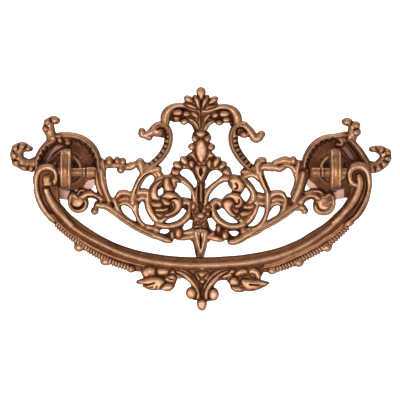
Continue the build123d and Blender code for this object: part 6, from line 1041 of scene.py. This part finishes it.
# ---- materials ----
def shade(name):
    mat = bpy.data.materials.new(name)
    mat.use_nodes = True
    nt = mat.node_tree
    nt.nodes.clear()
    out = nt.nodes.new("ShaderNodeOutputMaterial")
    bsdf = nt.nodes.new("ShaderNodeBsdfPrincipled")
    nt.links.new(bsdf.outputs[0], out.inputs["Surface"])
    return mat, nt, bsdf


def linear(r, g, b):
    return tuple((c / 255 / 12.92 if c <= 10.3 else ((c / 255 + 0.055) / 1.055) ** 2.4) for c in (r, g, b)) + (1,)


def tex_noise(nt, coord, scale, detail=3.0, rough=0.55):
    n = nt.nodes.new("ShaderNodeTexNoise")
    n.inputs["Scale"].default_value = scale
    n.inputs["Detail"].default_value = detail
    n.inputs["Roughness"].default_value = rough
    nt.links.new(coord, n.inputs["Vector"])
    return n.outputs["Fac"]


def ramp(nt, fac, stops):
    r = nt.nodes.new("ShaderNodeValToRGB")
    r.color_ramp.interpolation = "EASE"
    while len(r.color_ramp.elements) < len(stops):
        r.color_ramp.elements.new(0.5)
    for e, (p, c) in zip(r.color_ramp.elements, stops):
        e.position, e.color = p, c
    nt.links.new(fac, r.inputs["Fac"])
    return r.outputs["Color"]


def math_node(nt, op, a, b=None, c=None, clamp=False):
    m = nt.nodes.new("ShaderNodeMath")
    m.operation = op
    m.use_clamp = clamp
    for k, v in enumerate((a, b, c)):
        if v is None:
            continue
        if isinstance(v, (int, float)):
            m.inputs[k].default_value = v
        else:
            nt.links.new(v, m.inputs[k])
    return m.outputs[0]


def mix_color(nt, fac, a, b, kind="MIX"):
    m = nt.nodes.new("ShaderNodeMix")
    m.data_type = "RGBA"
    m.blend_type = kind
    if isinstance(fac, (int, float)):
        m.inputs["Factor"].default_value = fac
    else:
        nt.links.new(fac, m.inputs["Factor"])
    for s, v in (("A", a), ("B", b)):
        sock = [i for i in m.inputs if i.name == s and i.type == "RGBA"][0]
        if isinstance(v, tuple):
            sock.default_value = v
        else:
            nt.links.new(v, sock)
    return [o for o in m.outputs if o.type == "RGBA"][0]


def patina(name, stops, rough=(0.54, 0.36), hue=0.5, base_wear=None, bump=0.2, metallic=0.82):
    """Rubbed antique metal: dark in the hollows, bright where hands have worn it, coloured from a per-vertex value of
    wear, painted shade and painted highlight.
    """
    mat, nt, bsdf = shade(name)
    tc = nt.nodes.new("ShaderNodeTexCoord").outputs["Object"]
    if base_wear is None:
        at = nt.nodes.new("ShaderNodeAttribute")
        at.attribute_name = "wear_and_shade"
        wear_and_shade = at.outputs["Fac"]
    else:
        geo = nt.nodes.new("ShaderNodeNewGeometry")
        wear_and_shade = math_node(nt, "MULTIPLY_ADD", geo.outputs["Pointiness"], 0.6, base_wear - 0.3)
    big = tex_noise(nt, tc, 260.0, 2.0)
    mid = tex_noise(nt, tc, 1100.0, 4.0, 0.6)
    fine = tex_noise(nt, tc, 4200.0, 3.0, 0.6)
    v = math_node(nt, "MULTIPLY_ADD", math_node(nt, "SUBTRACT", mid, 0.5), 0.85, wear_and_shade)
    v = math_node(nt, "MULTIPLY_ADD", math_node(nt, "SUBTRACT", big, 0.5), 0.55, v)
    v = math_node(nt, "MULTIPLY_ADD", math_node(nt, "SUBTRACT", fine, 0.5), 0.4, v, clamp=True)
    col = ramp(nt, v, stops)
    # olive and reddish drifts over the surface
    drift = tex_noise(nt, tc, 150.0, 2.0)
    olive = mix_color(nt, math_node(nt, "MULTIPLY_ADD", drift, 2.4 * hue, -1.2 * hue, clamp=True), col,
                      mix_color(nt, 1.0, col, linear(236, 236, 178), "MULTIPLY"))
    red = tex_noise(nt, tc, 340.0, 2.0)
    col = mix_color(nt, math_node(nt, "MULTIPLY_ADD", red, 2.2 * hue, -1.1 * hue, clamp=True), olive,
                    mix_color(nt, 1.0, olive, linear(255, 214, 206), "MULTIPLY"))
    nt.links.new(col, bsdf.inputs["Base Color"])
    bsdf.inputs["Metallic"].default_value = metallic
    r = math_node(nt, "MULTIPLY_ADD", v, rough[1] - rough[0], rough[0])
    r = math_node(nt, "MULTIPLY_ADD", math_node(nt, "SUBTRACT", mid, 0.5), 0.14, r, clamp=True)
    nt.links.new(r, bsdf.inputs["Roughness"])
    b = nt.nodes.new("ShaderNodeBump")
    b.inputs["Strength"].default_value = bump
    b.inputs["Distance"].default_value = 0.0001
    h = math_node(nt, "MULTIPLY_ADD", fine, 0.45, mid)
    nt.links.new(h, b.inputs["Height"])
    nt.links.new(b.outputs[0], bsdf.inputs["Normal"])
    return mat


CAST_STOPS = [(0.0, linear(94, 54, 32)), (0.2, linear(121, 75, 52)), (0.42, linear(147, 91, 58)),
              (0.7, linear(169, 118, 83)), (1.0, linear(192, 151, 121))]
brass = patina("antique_brass", CAST_STOPS)
brass_bail = patina("antique_brass_bail", [(0.0, linear(90, 52, 32)), (0.2, linear(117, 71, 45)), (0.42, linear(144, 89, 55)),
                                           (0.7, linear(168, 118, 83)), (1.0, linear(192, 151, 121))], hue=0.4)
eye_brass = patina("eye_bolt_brass", [(0.0, linear(34, 20, 14)), (0.14, linear(86, 54, 42)), (0.3, linear(134, 84, 56)), (0.5, linear(176, 118, 78)),
                                                (0.75, linear(200, 150, 113)), (1.0, linear(234, 189, 151))], rough=(0.5, 0.3), hue=0.2)
def shade_towards_top(mat):
    """Darkens a finish towards the top of the piece: painted shade."""
    nt = mat.node_tree
    bsdf = [n for n in nt.nodes if n.type == "BSDF_PRINCIPLED"][0]
    col = bsdf.inputs["Base Color"].links[0].from_socket
    tc = nt.nodes.new("ShaderNodeTexCoord").outputs["Object"]
    xyz = nt.nodes.new("ShaderNodeSeparateXYZ")
    nt.links.new(tc, xyz.inputs[0])
    up = nt.nodes.new("ShaderNodeMapRange")
    up.inputs["From Min"].default_value, up.inputs["From Max"].default_value = -0.002, 0.004
    nt.links.new(xyz.outputs["Z"], up.inputs["Value"])
    nt.links.new(mix_color(nt, up.outputs["Result"], col, mix_color(nt, 1.0, col, linear(190, 178, 186), "MULTIPLY")), bsdf.inputs["Base Color"])
    return mat


washer_mat = patina("washer_copper", [(0.0, linear(160, 114, 98)), (0.35, linear(206, 160, 140)), (0.7, linear(230, 186, 166)),
                                      (1.0, linear(244, 206, 188))], rough=(0.62, 0.5), base_wear=0.55, hue=0.15, metallic=0.7)
nut_mat = patina("nut_brass", [(0.0, linear(70, 48, 30)), (0.35, linear(150, 110, 66)), (0.7, linear(196, 152, 96)),
                               (1.0, linear(228, 190, 134))], rough=(0.5, 0.34), base_wear=0.5, hue=0.2)

# painted shade over the washers' upper parts
shade_towards_top(washer_mat)

# ---- castings ----
RP = plate_relief()
flat = np.zeros_like(RP.H)
plate = relief_mesh("backplate_casting", RP, SHIFT - RP.H, flat + SHIFT, SHIFT - PLATE_EDGE, SHIFT - 0.06,
                    lambda x: (x - PLATE_X0) * PLATE_UNIT, lambda y: (PLATE_Z0 - y) * PLATE_UNIT, 188000)
co = points(plate) * 1000
finish_relief(plate, RP, PLATE_UNIT, co[:, 0] / PLATE_UNIT + PLATE_X0, PLATE_Z0 - co[:, 2] / PLATE_UNIT, 1.3, 2.7, SHIFT)
plate.data.materials.append(brass)
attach(plate, "mount")
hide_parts("backplate")

RB = bail_relief()
u = np.clip(RB.F / 3.6, 0, 1)
rear = 0.6 + 0.8 * np.sqrt(np.clip(1 - (1 - u) ** 2, 0, 1))
rear = blur(rear, 1.2) + 0.02 * noise(rear.shape, 7, 9)
bail = relief_mesh("bail_casting", RB, SHIFT + BAIL_Y - RB.H, SHIFT + BAIL_Y + np.minimum(rear, 1.4),
                   SHIFT + BAIL_Y - 0.55, SHIFT + BAIL_Y + 0.55,
                   lambda x: (x - BAIL_X0) * BAIL_UNIT, lambda y: (BAIL_Z0 - y) * BAIL_UNIT, 150000)
co = points(bail) * 1000
finish_relief(bail, RB, BAIL_UNIT, co[:, 0] / BAIL_UNIT + BAIL_X0, BAIL_Z0 - co[:, 2] / BAIL_UNIT, 0.95, 2.0, None)
bail.data.materials.append(brass_bail)
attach(bail, "bail")
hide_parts("bail")

# pins through the eyes, each with an end band, a neck and a round-ended knob
for side, name in ((-1, "left"), (1, "right")):
    root, band0, band1, knob0, knob1 = PIN_STATIONS[side]
    kr = KNOB_R if side < 0 else KNOB_R - 0.14
    rows = [(0.2, root, 0.2), (PIN_R - 0.12, root, 0.2), (PIN_R, root - 0.12, 0.3)]
    k = root - 0.5
    while k > band0 + 0.5:
        rows.append((PIN_R, k, 0.62)); k -= 0.5
    rows += [(PIN_R, band0 + 0.14, 0.4), (PIN_R + 0.02, band0 + 0.04, 0.15), (PIN_BAND_R - 0.06, band0 - 0.02, 0.5), (PIN_BAND_R, band0 - 0.1, 0.9),
             (PIN_BAND_R, band1 + 0.1, 0.9), (PIN_BAND_R - 0.08, band1 + 0.02, 0.6), (KNOB_NECK_R + 0.05, band1 - 0.03, 0.05),
             (KNOB_NECK_R, (band1 + knob0) / 2, 0.0), (KNOB_NECK_R + 0.05, knob0 + 0.03, 0.05), (kr - 0.16, knob0 - 0.02, 0.4),
             (kr - 0.04, knob0 - 0.1, 0.8), (kr, knob0 - 0.3, 0.85)]
    k = knob0 - 0.7
    while k > knob1 + 1.2:
        rows.append((kr, k, 0.6)); k -= 0.4
    rows += [(kr - 1.1 + 1.1 * math.cos(a), knob1 + 1.1 - 1.1 * math.sin(a), 0.7 - 0.3 * math.sin(a))
             for a in [math.radians(q) for q in (0, 15, 30, 45, 60, 75, 90)]]
    rows += [(0.2, knob1 - 0.0, 0.3)]
    pin = mesh_object("pin_" + name, [lathe(name, rows, 40,
                      lambda r, q, s, side=side: (side * s, SHIFT + BAIL_Y + r * math.cos(q), PIN_Z + r * math.sin(q)))], 50)
    pin.data.materials.append(brass_bail)
    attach(pin, "bail")
    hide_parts("bail")

# eye bolts: a bevelled ring, a dished collar, and a stud whose end is threaded
for side, name in ((-1, "left"), (1, "right")):
    x0 = side * STUD_SPACING / 2
    w = EYE_W / 2
    # ring profile: (across, value); the bright bands on the bevels are painted highlights as well as rubbed edges
    half = [(0, 0.46), (0.45, 0.46), (0.84, 0.42), (0.94, 0.34), (1.08, 0.9), (1.24, 1.0), (1.44, 1.0), (1.6, 0.9), (1.73, 0.55), (1.82, 0.28), (1.85, 0.2)]
    drop = [0.02, 0.05, 0.17, 0.26, 0.24, 0.27, 0.42, 0.9, 1.5, 2.1, 2.7]
    shape = [(EYE_R - d, q, k) for (q, k), d in zip(half, drop)] + [(EYE_HOLE_R + 0.9, w, 0.2), (EYE_HOLE_R + 0.3, w - 0.06, 0.25),
            (EYE_HOLE_R + 0.05, w - 0.3, 0.15), (EYE_HOLE_R, w - 0.7, 0.1)]
    prof = [(r, -q, k) for r, q, k in shape[::-1]] + shape[1:]
    segs = 120
    ring_co, ring_w = [], []
    for r, s, k in prof:
        for q in range(segs):
            a = q * 2 * math.pi / segs
            ring_co.append((x0 + s, SHIFT + BAIL_Y + r * math.cos(a), r * math.sin(a)))
            # the ring is painted darker towards its top and bottom ends, most at the bottom: painted shade
            ends = min(1, max(0, (abs(math.sin(a)) - 0.55) / 0.4))
            ring_w.append(k * (1 - (0.55 if math.sin(a) > 0 else 0.92) * ends * ends))
    n = len(prof)
    ring_f = [(i * segs + q, i * segs + (q + 1) % segs, ((i + 1) % n) * segs + (q + 1) % segs, ((i + 1) % n) * segs + q)
              for i in range(n) for q in range(segs)]
    y = -SEAT_T
    # collar: (r, along, value); the bright values at the lip's rim are a painted highlight, kept to one side by lit()
    prof = [(0.1, BAIL_Y + EYE_HOLE_R + 1.2, 0.2), (NECK_R, BAIL_Y + EYE_HOLE_R + 1.2, 0.2), (NECK_R, y - COLLAR_T - 0.6, 0.25), (NECK_R + 0.06, y - COLLAR_T - 0.1, 0.1), (2.65, y - COLLAR_T + 0.2, 0.04),
            (2.95, y - COLLAR_T + 0.4, 0.04), (3.72, y - COLLAR_T + 0.36, 0.1), (3.84, y - COLLAR_T + 0.1, 0.8),
            (3.94, y - COLLAR_T + 0.01, 0.9), (4.1, y - COLLAR_T, 0.95), (4.26, y - COLLAR_T + 0.05, 0.95), (4.42, y - COLLAR_T + 0.2, 0.6), (COLLAR_R - 0.5, y - COLLAR_T + 0.36, 0.26),
            (COLLAR_R - 0.16, y - COLLAR_T + 0.62, 0.2), (COLLAR_R, y, 0.1), (SHOULDER_R, y + 0.01, 0.1), (SHOULDER_R, 0, 0.1), (SPIGOT_R, 0.01, 0.2), (SPIGOT_R, SPIGOT_END - 0.05, 0.3), (SHANK_R, SPIGOT_END, 0.3)]
    prof += [(SHANK_R, SPIGOT_END + 18.2 * k / 12, 0.42) for k in range(1, 13)]

    def lit(r, q, s, k, side=side):
        # painted highlight along one side of the dished collar's lip, and painted shade, near black, inside the dish
        if s > -1.3 or r < 2.6:
            return k
        turn = math.cos(q - math.radians(30 if side < 0 else 150))
        low = math.cos(q - math.radians(-52)) if side > 0 else -1
        lip_highlight = min(1, max(0, (max(turn, low + 0.02) - 0.82) / 0.12))
        if r < 3.8:
            return 0.22 * (1 - lip_highlight)
        return 0.2 + (k - 0.2) * lip_highlight

    turned = lathe(name, prof + [(SHANK_R - 0.02, 19.8, 0.5), (SHANK_R - 0.2, 19.98, 0.4), (1.5, 20.0, 0.3), (0.1, 20.0, 0.3)], 64,
                   lambda r, q, s: (x0 + r * math.cos(q), SHIFT + s, r * math.sin(q)), lit)
    # thread: one start, sharp crests, run out at both ends
    rows, segs = [], 36
    s0, s1 = 19.4, SHANK_END
    per = 10
    n = int((s1 - s0) / THREAD_PITCH * per)
    th_co, th_w = [], []
    for i in range(n + 1):
        s = s0 + (s1 - s0) * i / n
        ease = min(1, (s - s0) / 1.2) if s < s0 + 1.2 else 1
        end = min(1, max(0, (s1 - s) / 0.55))
        for q in range(segs):
            ph = (s / THREAD_PITCH - side * 0 - q / segs) % 1
            tri = abs(2 * ph - 1)
            cut = min(1, max(0, (tri - 0.12) / 0.76))
            r = 2.045 - 0.42 * cut * ease
            r = min(r, 1.62 + 0.43 * end)
            a = q * 2 * math.pi / segs
            th_co.append((x0 + r * math.cos(a), SHIFT + s, r * math.sin(a)))
            th_w.append(0.72 - 0.6 * cut)
    th_f = [(i * segs + q, i * segs + (q + 1) % segs, (i + 1) * segs + (q + 1) % segs, (i + 1) * segs + q) for i in range(n) for q in range(segs)]
    th_f += [tuple(range(segs))[::-1], tuple(range(n * segs, (n + 1) * segs))]
    bolt = mesh_object("eye_bolt_" + name + "_turned", [(np.array(ring_co) / 1000, ring_f, ring_w), turned, (np.array(th_co) / 1000, th_f, th_w)], 42)
    bolt.data.materials.append(eye_brass)
    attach(bolt, "mount")
    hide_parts("eye_bolt_" + name)

# washers and nuts keep their shapes
for node, mat in (("washer_left", washer_mat), ("washer_right", washer_mat), ("nut_left", nut_mat), ("nut_right", nut_mat)):
    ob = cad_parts[node]
    if not ob.material_slots:
        ob.data.materials.append(mat)
    for s in ob.material_slots:
        s.material = mat

# ---- stage ----
stage_mat, nt, bsdf = shade("pale_floor")
bsdf.inputs["Base Color"].default_value = (0.93, 0.93, 0.925, 1)
bsdf.inputs["Roughness"].default_value = 0.9
bsdf.inputs["Specular IOR Level"].default_value = 0.1
me = bpy.data.meshes.new("floor")
prof = [(-3.0, 0.0), (2.6, 0.0)] + [(2.6 + 1.2 * math.sin(math.radians(a)), 1.2 - 1.2 * math.cos(math.radians(a))) for a in range(6, 91, 6)] + [(3.8, 4.0)]
vs = [(x, y, z - 0.36) for y, z in prof for x in (-5.0, 5.0)]
me.from_pydata(vs, [], [(2 * k, 2 * k + 1, 2 * k + 3, 2 * k + 2) for k in range(len(prof) - 1)])
me.polygons.foreach_set("use_smooth", [True] * len(me.polygons))
floor = bpy.data.objects.new("floor", me)
bpy.context.collection.objects.link(floor)
me.materials.append(stage_mat)


def area_light(name, at, to, size, watts, color=(1, 1, 1)):
    d = bpy.data.lights.new(name, "AREA")
    d.shape = "RECTANGLE"
    d.size, d.size_y = size
    d.energy, d.color = watts, color
    o = bpy.data.objects.new(name, d)
    bpy.context.collection.objects.link(o)
    o.location = at
    o.rotation_mode = "QUATERNION"
    o.rotation_quaternion = (Vector(to) - Vector(at)).to_track_quat("-Z", "Y")
    return o


centre = (0, 0, -0.01)
area_light("key_front", (-0.14, -1.05, -0.2), centre, (0.6, 0.3), 4.15)
area_light("edge_left", (-0.8, -0.42, 0.12), centre, (0.2, 0.6), 0.9)
area_light("edge_right", (0.8, -0.42, 0.0), centre, (0.2, 0.6), 0.5)
area_light("edge_top", (-0.1, -0.5, 0.7), centre, (0.6, 0.2), 1.1)
area_light("cove", (0, 1.3, 2.3), (0, 3.6, 0.2), (4.0, 1.2), 200.0)

world = bpy.data.worlds.new("studio")
bpy.context.scene.world = world
world.use_nodes = True
nt = world.node_tree
nt.nodes.clear()
wo = nt.nodes.new("ShaderNodeOutputWorld")
bg = nt.nodes.new("ShaderNodeBackground")
bg.inputs["Color"].default_value = (1, 0.99, 0.975, 1)
bg.inputs["Strength"].default_value = 0.27
nt.links.new(bg.outputs[0], wo.inputs["Surface"])

cam = bpy.data.cameras.new("camera")
cam.lens, cam.sensor_width = 243.0, 36.0
cam.clip_start, cam.clip_end = 0.05, 20.0
cam_ob = bpy.data.objects.new("camera", cam)
bpy.context.collection.objects.link(cam_ob)
e = math.radians(4.0)
look = Vector((-0.00025, -0.003, -0.01057))
cam_ob.location = look + 0.9 * Vector((0, -math.cos(e), math.sin(e)))
cam_ob.rotation_mode = "QUATERNION"
cam_ob.rotation_quaternion = (look - cam_ob.location).to_track_quat("-Z", "Y")
bpy.context.scene.camera = cam_ob
bpy.context.scene.view_settings.view_transform = "Standard"

bpy.context.view_layer.update()
